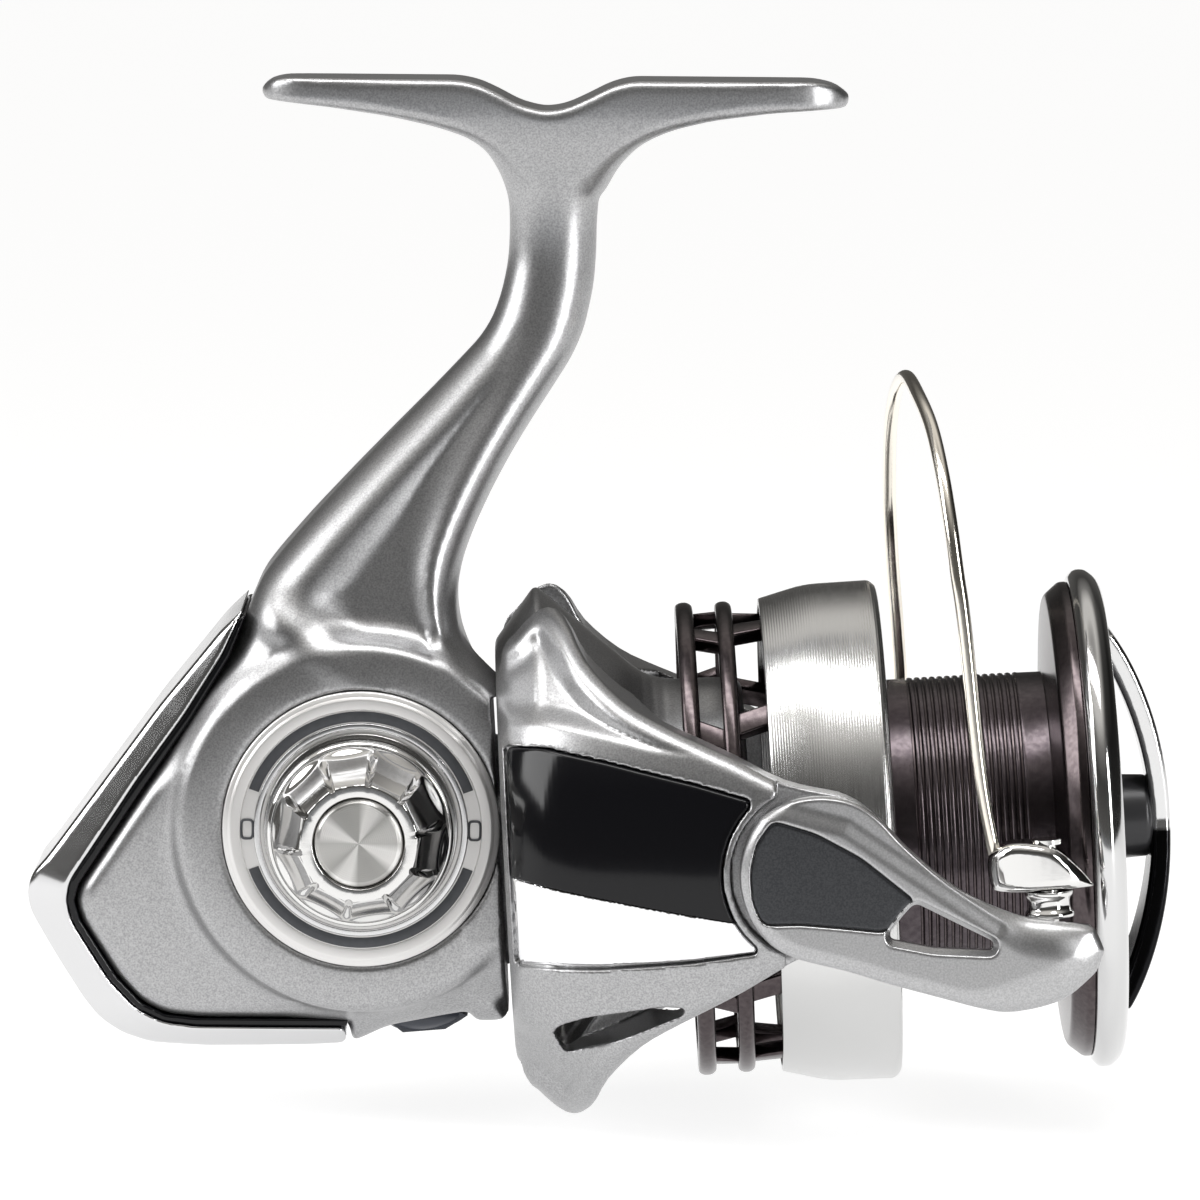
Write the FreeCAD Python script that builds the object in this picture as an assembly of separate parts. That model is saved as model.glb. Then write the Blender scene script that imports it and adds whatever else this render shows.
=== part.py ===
import FreeCAD, Part
import math
import os

os.makedirs("parts", exist_ok=True)
V = FreeCAD.Vector

# Driving dimensions, mm. Row frame: origin on the foot's seat, +X to the spool's
# front, +Z up to the rod, +Y to the handle side. Line frame (s, y, z): s runs along
# the spool line, which is tilted and lies LINE_Z under the seat.
TILT = 3.5
LINE_Z = -83.2
FOOT_W = 14.5
GEAR_S, GEAR_Z = -19.73, 5.0      # drive gear axis in the line frame
GEAR_TEETH, PINION_TEETH = 47, 9
MESH_S = 9.0                      # distance from gear axis to the mesh point, along s
PINION_R = 2.92                   # pinion pitch radius
OSC_S, OSC_Z = -33.34, -1.6        # oscillating gear axis
OSC_M, OSC_N1, OSC_N2 = 0.55, 26, 29
STROKE = 14.5
SHAFT_R = 1.7
PIVOT_S = 28.2                    # bail pivots
SKIRT_R, LIP_R, ARBOR_R = 27.0, 27.0, 16.0

LINE = FreeCAD.Placement(V(0, 0, LINE_Z), FreeCAD.Rotation(V(0, 1, 0), -TILT))


# ---------------------------------------------------------------- helpers
def ln(shape):
    """Line frame to row frame."""
    moved = shape.copy()
    moved.Placement = LINE.multiply(moved.Placement)
    return moved


def save(name, shape):
    shape.exportStep("parts/%s.step" % name)
    print(name, len(shape.Solids), round(shape.Volume, 2), shape.isValid())


def turn(points):
    """Solid of revolution about the s axis from (s, r) points."""
    wire = Part.makePolygon([V(s, 0, r) for s, r in points + points[:1]])
    return Part.Face(wire).revolve(V(0, 0, 0), V(1, 0, 0), 360)


def turn_y(points, s=GEAR_S, z=GEAR_Z):
    """Solid of revolution about a Y axis through (s, z) from (y, r) points."""
    wire = Part.makePolygon([V(s + r, y, z) for y, r in points + points[:1]])
    return Part.Face(wire).revolve(V(s, 0, z), V(0, 1, 0), 360)


def tube_s(s0, s1, ro, ri=0.0, y=0.0, z=0.0):
    """Cylinder or ring along s."""
    ring = Part.makeCylinder(ro, s1 - s0, V(s0, y, z), V(1, 0, 0))
    if ri > 0:
        ring = ring.cut(Part.makeCylinder(ri, s1 - s0 + 2, V(s0 - 1, y, z), V(1, 0, 0)))
    return ring


def tube_y(y0, y1, ro, ri=0.0, s=GEAR_S, z=GEAR_Z):
    """Cylinder or ring along y."""
    ring = Part.makeCylinder(ro, y1 - y0, V(s, y0, z), V(0, 1, 0))
    if ri > 0:
        ring = ring.cut(Part.makeCylinder(ri, y1 - y0 + 2, V(s, y0 - 1, z), V(0, 1, 0)))
    return ring


def box(x0, x1, y0, y1, z0, z1):
    return Part.makeBox(x1 - x0, y1 - y0, z1 - z0, V(x0, y0, z0))


def slab(points, y0, y1):
    """Prism along y from (x, z) points."""
    wire = Part.makePolygon([V(x, y0, z) for x, z in points + points[:1]])
    return Part.Face(wire).extrude(V(0, y1 - y0, 0))


def slab_x(points, x0, x1):
    """Prism along x from (y, z) points."""
    wire = Part.makePolygon([V(x0, y, z) for y, z in points + points[:1]])
    return Part.Face(wire).extrude(V(x1 - x0, 0, 0))


def slab_z(points, z0, z1):
    """Prism along z from (x, y) points."""
    wire = Part.makePolygon([V(x, y, z0) for x, y in points + points[:1]])
    return Part.Face(wire).extrude(V(0, 0, z1 - z0))


def arc(cx, cz, r, a0, a1, n):
    """Points on a circle, angles in degrees."""
    step = (a1 - a0) / float(n)
    angles = [math.radians(a0 + step * i) for i in range(n + 1)]
    return [(cx + r * math.cos(a), cz + r * math.sin(a)) for a in angles]


def mirror_y(shape):
    return shape.mirror(V(0, 0, 0), V(0, 1, 0))


def around_s(shape, count, start=0.0):
    """Copies of a shape spaced evenly about the s axis."""
    out = []
    for i in range(count):
        c = shape.copy()
        c.rotate(V(0, 0, 0), V(1, 0, 0), start + 360.0 * i / count)
        out.append(c)
    return out


def coil(p0, axis, radius, wire_r, pitch, height):
    """Coil spring starting at p0 along axis."""
    helix = Part.makeHelix(pitch, height, radius)
    ring = Part.Wire(Part.makeCircle(wire_r, V(radius, 0, 0), V(0, 1, 0)))
    spring = Part.Wire(helix).makePipeShell([ring], True, True)
    spring.Placement = FreeCAD.Placement(p0, FreeCAD.Rotation(V(0, 0, 1), axis))
    return spring


# ---------------------------------------------------------------- body
REAR = [(-32.4, -57.2), (-34.2, -62.0), (-38.1, -68.5), (-43.1, -75.6), (-50.2, -86.4),
        (-50.6, -88.0), (-50.1, -89.9), (-46.2, -96.3), (-43.6, -99.2), (-41.1, -100.5),
        (-37.5, -101.0), (-21.6, -101.0)]
COVER_IN = [(-33.2, -57.6), (-35.0, -61.6), (-39.0, -68.0), (-44.0, -75.0), (-51.2, -86.0),
            (-51.6, -88.0), (-51.0, -90.3), (-47.0, -96.9), (-44.2, -100.0), (-41.4, -101.5),
            (-37.6, -102.0), (-21.6, -102.0)]
COVER_OUT = [(-32.6, -56.3), (-35.3, -58.9), (-38.0, -62.3), (-41.8, -67.0), (-45.5, -72.1),
             (-50.3, -78.7), (-53.8, -83.5), (-55.3, -85.2), (-55.9, -87.1), (-55.6, -89.2),
             (-52.7, -94.4), (-49.8, -99.3), (-48.2, -101.4), (-45.8, -103.1), (-42.7, -104.1),
             (-36.5, -104.4), (-26.1, -104.2), (-21.6, -103.9)]
FLANGE_S = -5.2
SEAT_PADS = (-29.0, -10.0, 8.5, 28.0)


def girth():
    """Section the gear case, gasket and rear cover share, seen along X."""
    half = [(0, -50), (11.6, -50), (12.8, -62), (12.8, -92), (11.6, -97.5), (8.6, -102.2), (4.5, -105)]
    other = [(-y, z) for y, z in reversed(half[1:])]
    return slab_x(half + other, -60, 0)


def foot():
    top = [(-31.4, -1.9), (-30.9, -0.6), (SEAT_PADS[0], 0), (SEAT_PADS[1], 0), (-8.0, -0.5), (-5.8, -1.5),
           (-3.6, -2.7), (-0.9, -3.3), (1.3, -3.0), (3.5, -2.0), (6.1, -0.7), (SEAT_PADS[2], 0),
           (SEAT_PADS[3], 0), (30.2, -0.6), (31.8, -1.9)]
    under = [(31.2, -2.9), (23.3, -3.4), (16.7, -4.3), (12.3, -5.3), (9.2, -6.6), (7.05, -8.2),
             (5.7, -10.0), (4.9, -12.2), (4.7, -16), (-4.7, -16), (-4.9, -11.0), (-5.8, -8.8),
             (-8.0, -6.7), (-11.2, -5.4), (-16.6, -4.1), (-24.1, -3.1), (-30.6, -2.5)]
    w = FOOT_W / 2.0
    side = slab(top + under, -w, w)
    plan = [(-31.4, -3.4), (-29.8, -5.0), (-14, -w), (14, -w), (29.8, -5.0), (31.8, -3.4)]
    plan += [(x, -y) for x, y in reversed(plan)]
    front = [(-w, 1), (w, 1), (w, -2.6), (5.4, -5.0), (4.5, -9.0), (4.3, -17), (-4.3, -17),
             (-4.5, -9.0), (-5.4, -5.0), (-w, -2.6)]
    return side.common(slab_z(plan, -20, 2)).common(slab_x(front, -40, 40))


def stem_section(z, x0, x1, w):
    cx, a = (x0 + x1) / 2.0, (x1 - x0) / 2.0
    pts = []
    for i in range(16):
        t = 2 * math.pi * i / 16
        c, s = math.cos(t), math.sin(t)
        pts.append(V(cx + a * math.copysign(abs(c) ** 0.8, c), w * math.copysign(abs(s) ** 0.8, s), z))
    curve = Part.BSplineCurve()
    curve.interpolate(Points=pts, PeriodicFlag=True)
    return Part.Wire(curve.toShape())


def stem():
    rows = [(-12.0, -4.85, 4.85, 4.3), (-17.0, -4.7, 4.7, 4.3), (-22.0, -5.1, 4.4, 4.5),
            (-27.0, -7.1, 3.2, 5.2), (-33.0, -12.4, 0.1, 6.6), (-40.0, -19.1, -4.3, 8.4),
            (-47.0, -25.6, -7.7, 10.2), (-54.0, -31.2, -9.9, 11.6), (-59.0, -33.0, -9.8, 12.2)]
    return Part.makeLoft([stem_section(*r) for r in rows], True)


def body_frame():
    outer = REAR + [(-21.2, -101.0), (-21.2, -103.8), (-16.9, -101.8), (-8.6, -100.3), (-7.9, -98.0),
                    (-9.9, -67.0), (-9.4, -62.8), (-10.0, -57.5)]
    case = slab(outer, -12.8, 12.8).common(girth())
    near = ln(turn_y([(-15.5, 0), (-15.5, 17.8), (-14.6, 18.9), (-11.0, 19.4), (-11.0, 0)]))
    far = ln(turn_y([(14.0, 0), (14.0, 11.5), (13.2, 12.4), (12.0, 13.4), (12.0, 0)]))
    flange = ln(turn([(-12, 0), (-12, 14), (-9.4, 17.4), (FLANGE_S, 17.4), (FLANGE_S, 0)]).common(
        box(-20, 0, -15.5, 15.5, -20, 20)))
    neck = ln(tube_s(-10, 0.6, 12.4))
    limit = ln(box(-70, FLANGE_S, -30, 30, -30, 60))
    solid = case.fuse([near.common(limit), far.common(limit), flange, stem(), foot(), neck])
    room = [(-33.6, -62.5), (-41.6, -75.6), (-48.2, -86.8), (-48.0, -89.4), (-44.4, -95.4),
            (-42.0, -98.0), (-38.0, -98.8), (-11.3, -97.6), (-11.5, -66.0), (-16.5, -61.5)]
    solid = solid.cut(slab(room, -11.0, 10.5).common(girth()))
    far_seat = ln(tube_y(9.6, 12.0, 9.0))
    solid = solid.fuse(far_seat)
    tools = [ln(tube_y(-20, -10.5, 14.3)), ln(tube_y(9.0, 13.2, 6.5)), ln(tube_y(13.0, 15.0, 5.0)),
             ln(tube_y(-11.0, 1.0, 11.9)), ln(tube_s(-12.6, -4.0, 3.9)), ln(tube_s(-7.6, -4.3, 5.5)),
             ln(tube_s(-4.4, 1.0, 8.0)),
             ln(tube_y(10.0, 12.0, 1.5, 0, OSC_S, OSC_Z)),
             ln(tube_s(-45.7, -8.0, 1.02, 0, 0.4, -6.5)), rear_cover(), cover_gasket(),
             Part.makeCylinder(1.3, 8, V(-12.2, 0, -104), V(0, 0, 1)),
             Part.makeCylinder(0.95, 6, V(-52, 0, -88), V(1, 0, 0)),
             Part.makeCylinder(0.95, 5, V(-36, 0, -103), V(0, 0, 1))]
    tools += [ln(c) for c in around_s(tube_s(-3.6, 2.0, 1.0, 0, 10.0, 0), 3)]
    return solid.cut(tools).removeSplitter()


def rear_cover():
    ring = slab(COVER_OUT + list(reversed(COVER_IN)), -12.8, 12.8).common(girth())
    return ring.cut([Part.makeCylinder(0.95, 10, V(-58, 0, -88), V(1, 0, 0)),
                     Part.makeCylinder(1.75, 3, V(-57.2, 0, -88), V(1, 0, 0)),
                     Part.makeCylinder(0.95, 6, V(-36, 0, -106), V(0, 0, 1)),
                     Part.makeCylinder(1.75, 2, V(-36, 0, -105.1), V(0, 0, 1))])


def cover_gasket():
    ring = slab(COVER_IN + list(reversed(REAR)), -12.4, 12.4).common(girth())
    return ring.cut([Part.makeCylinder(0.95, 10, V(-58, 0, -88), V(1, 0, 0)),
                     Part.makeCylinder(0.95, 6, V(-36, 0, -106), V(0, 0, 1))])


def cover_screws():
    rear = Part.makeCylinder(1.7, 1.2, V(-55.4, 0, -88), V(1, 0, 0))
    rear = rear.fuse(Part.makeCylinder(0.9, 6.0, V(-54.2, 0, -88), V(1, 0, 0)))
    low = Part.makeCylinder(1.7, 1.0, V(-36, 0, -104.1), V(0, 0, 1))
    low = low.fuse(Part.makeCylinder(0.9, 4.0, V(-36, 0, -103.1), V(0, 0, 1)))
    return Part.makeCompound([rear, low])


def lever():
    pad = slab([(-17.0, -102.2), (-15.6, -103.3), (-11.0, -102.9), (-8.6, -101.4), (-9.4, -101.1),
                (-12.0, -101.7), (-16.4, -101.95)], -2.6, 2.6)
    post = Part.makeCylinder(1.2, 5.0, V(-12.2, 0, -102.3), V(0, 0, 1))
    return pad.fuse(post)


# ---------------------------------------------------------------- plate and cap
def engine_plate():
    body = turn_y([(-16.0, 14.75), (-15.5, 14.75), (-15.5, 14.2), (-11.6, 14.2), (-11.6, 6.05),
                   (-14.5, 6.05), (-14.5, 3.6), (-20.0, 3.6), (-20.0, 9.9), (-19.6, 10.3), (-16.0, 10.3)])
    return body.cut(tube_y(-15.6, -14.8, 14.3, 13.8))


def handle_cap():
    cap = turn_y([(-26.3, 0), (-26.3, 4.9), (-27.0, 4.9), (-27.0, 6.3), (-26.4, 7.2), (-20.8, 9.5),
                  (-20.0, 9.5), (-20.0, 3.4), (-17.0, 3.4), (-17.0, 0)])
    notches = []
    for i in range(10):
        a = math.radians(18 + 36 * i)
        notches.append(tube_y(-27.5, -21.2, 1.5, 0, GEAR_S + 9.6 * math.cos(a), GEAR_Z + 9.6 * math.sin(a)))
    return cap.cut(notches)


# ---------------------------------------------------------------- gears
BASE_R = GEAR_TEETH * PINION_R / float(PINION_TEETH) * math.cos(
    math.atan((GEAR_TEETH * PINION_R / float(PINION_TEETH) - MESH_S) / GEAR_Z))
TAN_HELIX = (GEAR_TEETH * PINION_R / float(PINION_TEETH) - MESH_S) / GEAR_Z


def face_tooth(centre, thick, r0, r1, y0, y1):
    """One curved tooth of the face gear, as a prism between two involutes."""
    def side(shift):
        pts = []
        for i in range(6):
            r = r0 + (r1 - r0) * i / 5.0
            phi = math.acos(BASE_R / r)
            a = centre + shift - (math.tan(phi) - phi)
            pts.append((GEAR_S + r * math.cos(a), GEAR_Z + r * math.sin(a)))
        return pts
    d = thick / (2 * BASE_R)
    return slab(side(-d) + list(reversed(side(d))), y0, y1)


def drive_gear():
    blank = turn_y([(-11.3, 3.03), (-11.3, 4.5), (-8.6, 5.2), (-8.6, 11.5), (-3.45, 11.5), (-3.45, 9.7),
                    (-6.6, 9.2), (-6.6, 5.0), (-5.6, 4.6), (-5.6, 3.03)])
    r_mesh = math.hypot(MESH_S, GEAR_Z)
    phi = math.acos(BASE_R / r_mesh)
    aim = math.atan2(-GEAR_Z, MESH_S) + (math.tan(phi) - phi)
    teeth = [face_tooth(aim + 2 * math.pi * i / GEAR_TEETH, 0.47, 9.75, 11.45, -3.6, -2.62)
             for i in range(GEAR_TEETH)]
    return blank.fuse(teeth)


def pinion_teeth(s0, s1):
    """Helical teeth lofted through turned sections; a gap faces the gear at the mesh point."""
    steps = 10
    wires = []
    for k in range(steps + 1):
        s = s0 + (s1 - s0) * k / float(steps)
        base = math.pi + (s - (GEAR_S + MESH_S)) * TAN_HELIX / PINION_R
        pts = []
        for i in range(PINION_TEETH):
            mid = base + 2 * math.pi * (i + 0.5) / PINION_TEETH
            for da, r in ((-0.165, 2.42), (-0.08, 3.35), (0.08, 3.35), (0.165, 2.42)):
                pts.append(V(s, r * math.cos(mid + da), r * math.sin(mid + da)))
        wires.append(Part.makePolygon(pts + pts[:1]))
    return Part.makeLoft(wires, True, True)


def pinion():
    core = turn([(-12.4, 1.75), (-12.4, 2.4), (-8.4, 2.45), (-8.0, 2.95), (19.6, 2.95), (19.6, 1.75)])
    return core.fuse(pinion_teeth(-12.2, -8.3)).cut(tube_s(-17, 21, 1.75))


def spur(n, m, y0, y1, s, z, phase, bore):
    """Spur gear about a Y axis; phase is the direction of one tooth, radians."""
    r = m * n / 2.0
    pitch = 2 * math.pi / n
    pts = []
    for i in range(n):
        a = phase + pitch * i
        for f, rr in ((-0.29, r - 1.15 * m), (-0.225, r), (-0.10, r + 0.9 * m),
                      (0.10, r + 0.9 * m), (0.225, r), (0.29, r - 1.15 * m)):
            pts.append((s + rr * math.cos(a + f * pitch), z + rr * math.sin(a + f * pitch)))
    return slab(pts, y0, y1).cut(tube_y(y0 - 1, y1 + 1, bore, 0, s, z))


def osc_gears():
    aim = math.atan2(OSC_Z - GEAR_Z, OSC_S - GEAR_S)
    small = spur(OSC_N1, OSC_M, 6.75, 8.7, GEAR_S, GEAR_Z, aim, 3.03)
    big = spur(OSC_N2, OSC_M, 6.4, 8.6, OSC_S, OSC_Z, aim + math.pi + math.pi / OSC_N2, 1.55)
    big = big.fuse(tube_y(8.6, 10.2, 3.2, 1.55, OSC_S, OSC_Z))
    big = big.fuse(tube_y(6.4, 7.0, 2.4, 0, OSC_S, OSC_Z))
    crank = tube_y(6.0, 6.6, 1.0, 0, OSC_S - STROKE / 2.0, OSC_Z)
    return small, big.fuse(crank)


# ---------------------------------------------------------------- shaft train
def slider():
    c = OSC_S - STROKE / 2.0
    block = box(c - 2.0, c + 2.0, -2.3, 3.2, -8.4, 3.6)
    plate = slab([(c - 2.0, -8.6), (c - 1.0, -10.8), (c + 2.0, -10.8), (c + 2.0, 7.7), (c - 1.2, 7.7),
                  (c - 2.0, 5.5)], 3.0, 5.7)
    slot = box(c - 1.08, c + 1.08, 4.2, 6.0, OSC_Z - 8.35, OSC_Z + 8.35)
    body = block.fuse(plate)
    return body.cut([slot, tube_s(c - 3, c + 3, SHAFT_R + 0.02), tube_s(c - 3, c + 3, 1.06, 0, 0.4, -6.5),
                     Part.makeCylinder(0.82, 4, V(c, 0, 1.6), V(0, 0, 1))])


def main_shaft():
    c = OSC_S - STROKE / 2.0
    return tube_s(c - 2.0, 60.4, SHAFT_R).cut(box(56.0, 62.0, 1.35, 3, -3, 3))


def spool():
    arbor = turn([(27.0, 3.05), (27.0, 25.0), (24.0, 25.0), (24.0, 25.5), (29.0, 26.9), (36.2, SKIRT_R),
                  (36.8, 26.4), (36.8, ARBOR_R), (54.4, ARBOR_R), (54.9, 24.5), (56.5, 25.7), (57.4, 25.7),
                  (57.4, 22.5), (56.2, 22.0), (56.2, 12.6), (53.6, 12.6), (53.6, 7.0), (50.0, 7.0),
                  (50.0, 14.2), (31.0, 14.2), (31.0, 8.0), (34.0, 6.0), (53.0, 6.0), (53.0, 3.05)])
    rims = [turn([(15.0, 23.2), (15.0, 25.1), (15.5, 25.6), (16.4, 25.6), (16.9, 25.1), (16.9, 23.2)]),
            turn([(19.3, 23.2), (19.3, 25.2), (20.2, 25.5), (21.1, 25.2), (21.1, 23.2)])]
    posts = around_s(box(15.2, 27.0, -1.3, 1.3, 23.3, 24.9), 10)
    return arbor.fuse(rims + posts)


def lip_ring():
    return turn([(57.4, 22.6), (57.4, 26.2), (58.2, LIP_R), (59.4, LIP_R), (60.6, 26.0), (61.0, 25.0),
                 (60.4, 24.2), (58.6, 22.6)])


def drag_knob():
    dome = [(61.0 + 6.3 * (1 - (abs(z) / 21.0) ** 2) ** 0.85, z) for z in range(-21, 22, 3)]
    under = [(59.0 + 6.3 * (1 - (abs(z) / 19.0) ** 2) ** 0.85, z) for z in range(18, -19, -3)]
    bar = slab([(58.8, -21)] + dome + [(58.8, 21)] + under, -4.5, 4.5)
    base = turn([(57.8, 6.6), (57.8, 20.0), (58.6, 21.0), (60.6, 21.0), (61.4, 20.0), (61.4, 4.5),
                 (65.0, 4.5), (65.4, 4.0), (65.4, 0), (60.6, 0), (60.6, 6.6)])
    return base.fuse(bar).cut(tube_s(50, 60.6, 6.6))


# ---------------------------------------------------------------- rotor
def arm_outline():
    up = [(-4.4, 22.0), (-2.6, 24.6), (0.4, 27.6), (3.2, 26.2), (5.2, 22.1), (8.8, 18.1), (13.2, 15.6),
          (19.8, 12.2), (25.3, 9.0)]
    end = arc(PIVOT_S, 0, 8.3, 82, -82, 14)
    return up + end + [(s, -z) for s, z in reversed(up)]


def arm_envelope():
    return turn([(-4.6, 0), (-4.6, 24.6), (-3.6, 26.6), (0.0, 29.6), (5.0, 31.6), (13.0, 33.6), (20.0, 34.0),
                 (38.0, 34.0), (38.0, 0)])


def rotor_arm():
    """The near arm, at -Y."""
    blade = slab(arm_outline(), -36, -8).common(arm_envelope())
    inside = turn([(-6, 0), (-6, 20.9), (-4.6, 20.9), (-0.6, 25.8), (0.6, 25.9), (8.0, 18.8), (10.0, 21.0),
                   (13.0, 28.3), (40, 28.3), (40, 0)])
    blade = blade.cut(inside)
    blade = blade.cut(tube_y(-40, -30.8, 9.2, 0, PIVOT_S, 0)).cut(box(PIVOT_S - 4, 45, -40, -30.8, -20, 20))
    return blade


def panel_outline():
    return [(-2.6, 13.2), (8.4, 11.8), (15.8, 9.8), (20.9, 7.9)] + arc(PIVOT_S, 0, 10.0, 135, 225, 8) + \
           [(20.9, -7.9), (11.1, -9.4), (-2.6, -9.8)]


def panel(inset):
    pts = [(s, z - math.copysign(inset, z)) for s, z in panel_outline()]
    shell = arm_envelope().cut(turn([(-6, 0), (-6, 23.4), (0.0, 28.4), (5.0, 30.4), (13.0, 32.4),
                                     (20.0, 32.8), (40, 32.8), (40, 0)]))
    return slab(pts, -36, -20).common(shell).cut(tube_y(-40, -20, 9.6, 0, PIVOT_S, 0))


def rotor():
    cup = turn([(-4.6, 22.6), (0, 28.4), (11.9, 17.5), (21.0, 17.3), (21.8, 16.4), (21.8, 13.0), (15.0, 13.0),
                (15.0, 3.0), (11.8, 3.0), (11.8, 15.2), (10.2, 16.0), (0.6, 25.9), (-0.6, 25.8), (-4.6, 20.9)])
    arm = rotor_arm().cut([panel(0.0), box(7.6, 18.0, -31.6, -28.95, -4.0, 4.0)])
    vent = slab([(0.8, -17.6), (3.0, -15.6), (12.0, -13.4), (11.0, -15.2), (2.6, -19.4)], -34, -18)
    arm = arm.cut(vent)
    both = cup.fuse([arm, mirror_y(arm)])
    pins = [tube_y(-31.2, -27.0, 2.0, 0, PIVOT_S, 0), tube_y(27.0, 31.2, 2.0, 0, PIVOT_S, 0)]
    return both.cut(pins + [panel(0.0), mirror_y(panel(0.0))])


# ---------------------------------------------------------------- bail
BAIL_ARM = [(20.1, 0.0), (20.5, -3.0), (21.8, -5.6), (24.4, -7.6), (30.2, -10.6), (35.4, -12.4), (40.7, -14.2),
            (47.0, -16.0), (51.3, -15.3), (56.0, -13.0), (58.0, -10.0), (56.5, -7.3), (51.8, -6.7),
            (46.5, -4.9), (43.9, -3.4), (41.3, -1.4), (38.8, 0.9), (36.2, 3.5), (33.7, 5.9), (31.1, 7.4),
            (27.8, 8.2), (24.4, 7.3), (21.8, 5.3), (20.5, 2.9)]
BAIL_INLAY = [(23.7, 6.0), (28.1, 4.6), (32.7, 1.9), (37.4, -2.7), (34.9, -5.8), (30.3, -5.2), (26.0, -4.7),
              (23.2, -4.5), (22.6, 0.0)]
ROLLER = (52.3, -30.4)


def bail_arm():
    plate = slab(BAIL_ARM, -36.8, -34.4)
    plate = plate.common(slab_z([(18, -35.6), (23, -36.8), (52, -36.8), (59, -35.2), (59, -34.3), (18, -34.3)], -20, 12))
    tail = slab([(46.8, -6.3), (46.8, -7.4), (50.4, -9.4), (55.5, -10.6), (57.2, -9.4), (56.5, -7.3),
                 (51.8, -6.7)], -35.0, -28.4)
    body = plate.fuse([tail, tube_y(-35.5, -31.1, 8.0, 0, PIVOT_S, 0)])
    window = slab([(37.6, -3.4), (46.4, -7.6), (46.2, -8.9), (41.0, -8.8), (35.4, -7.0)], -40, -28)
    body = body.cut(window)
    body = body.cut(slab(BAIL_INLAY, -40, -36.2))
    return body.cut([tube_y(-35.4, -30, 2.05, 0, PIVOT_S, 0), tube_y(-36.3, -35.2, 3.6, 0, PIVOT_S, 0),
                     Part.makeCylinder(1.02, 8, V(ROLLER[0], ROLLER[1], -12), V(0, 0, 1))])


def bail_cover():
    """Plate over the near pivot screw."""
    return slab(BAIL_INLAY, -36.7, -36.2)


def pivot_screw():
    return tube_y(-35.6, -27.2, 1.98, 0, PIVOT_S, 0).fuse(tube_y(-36.1, -35.25, 3.5, 0, PIVOT_S, 0))


def roller():
    wire = Part.makePolygon([V(ROLLER[0] + r, ROLLER[1], z) for r, z in
                             ((1.06, -6.1), (2.6, -6.1), (2.6, -5.6), (2.25, -5.2), (2.2, -4.6), (2.3, -4.0),
                              (2.6, -3.5), (2.6, -3.3), (1.06, -3.3), (1.06, -6.1))])
    return Part.Face(wire).revolve(V(ROLLER[0], ROLLER[1], 0), V(0, 0, 1), 360)


def wire_cone():
    cone = slab([(46.2, -3.0), (46.0, 0.6), (48.4, 1.8), (53.0, 1.0), (56.8, -2.4), (57.0, -3.0)], -33.4, -27.6)
    plan = [(45.6, -31.2), (45.6, -28.6), (49.0, -27.8), (54.0, -27.8), (57.4, -29.4), (57.4, -31.4),
            (54.0, -33.2), (49.0, -33.2)]
    cone = cone.common(slab_z(plan, -5, 5))
    return cone.cut(Part.makeCylinder(1.02, 8, V(ROLLER[0], ROLLER[1], -5), V(0, 0, 1)))


def roller_screw():
    x, y = ROLLER
    shank = Part.makeCylinder(0.99, 12.2, V(x, y, -10.6), V(0, 0, 1))
    return shank.fuse(Part.makeCylinder(1.6, 0.5, V(x, y, 1.6), V(0, 0, 1)))


def bail_wire():
    pts = [(47.2, -29.3, -0.4), (46.7, -29.4, 2.6), (45.7, -29.4, 10.2), (44.9, -29.3, 24.6), (44.4, -28.9, 30.4),
           (44.0, -27.6, 35.5), (43.5, -24.5, 40.6), (42.9, -18.5, 44.8), (42.0, -11.0, 47.6), (41.2, 0.0, 48.9),
           (40.4, 10.0, 46.6), (39.9, 17.5, 42.0), (39.7, 24.0, 35.6), (39.7, 27.4, 30.8), (39.8, 28.8, 25.0),
           (40.0, 29.3, 18.0), (40.0, 29.8, 11.5), (38.8, 31.4, 6.4)]
    curve = Part.BSplineCurve()
    curve.interpolate([V(*p) for p in pts])
    path = Part.Wire(curve.toShape())
    start = curve.tangent(curve.FirstParameter)[0]
    ring = Part.Wire(Part.makeCircle(0.75, V(*pts[0]), start))
    return path.makePipeShell([ring], True, True).cut(wire_cone())


def bail_lever():
    pts = arc(PIVOT_S, 0, 7.6, 60, 300, 16) + [(33.6, -4.4), (39.6, 1.6), (40.6, 4.6), (39.2, 7.4), (36.4, 8.0)]
    body = slab(pts, 31.1, 34.2)
    return body.cut([tube_y(30, 40, 2.05, 0, PIVOT_S, 0), tube_y(33.6, 35, 3.6, 0, PIVOT_S, 0), bail_wire()])


def far_pivot_screw():
    return mirror_y(tube_y(-34.3, -33.65, 3.5, 0, PIVOT_S, 0).fuse(tube_y(-33.9, -27.2, 1.98, 0, PIVOT_S, 0)))


# ---------------------------------------------------------------- handle
HANDLE_DROP = -9.0
HANDLE_LEN = 50.0


def handle_arm():
    """Cranked arm, drawn along +X from the gear axis in the row frame."""
    side = [(-5.5, -4.0), (-5.5, 4.0), (-3.0, 6.0), (3.0, 6.0), (10.0, 4.8), (40.0, 3.8), (47.0, 4.6),
            (52.0, 4.6), (55.0, 2.0), (55.0, -2.0), (52.0, -4.6), (47.0, -4.6), (40.0, -3.8), (10.0, -4.8),
            (3.0, -6.0), (-3.0, -6.0)]
    plan = [(-6.0, 30.0), (7.0, 30.0), (10.0, 32.0), (26.0, 48.6), (56.0, 49.6), (56.0, 54.2), (24.0, 53.4),
            (7.0, 37.0), (-6.0, 37.0)]
    arm = slab(side, 20, 60).common(slab_z(plan, -10, 10))
    arm = arm.cut([Part.makeCylinder(2.55, 20, V(0, 25, 0), V(0, 1, 0)),
                   Part.makeCylinder(2.05, 20, V(HANDLE_LEN, 45, 0), V(0, 1, 0))])
    return arm


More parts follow.
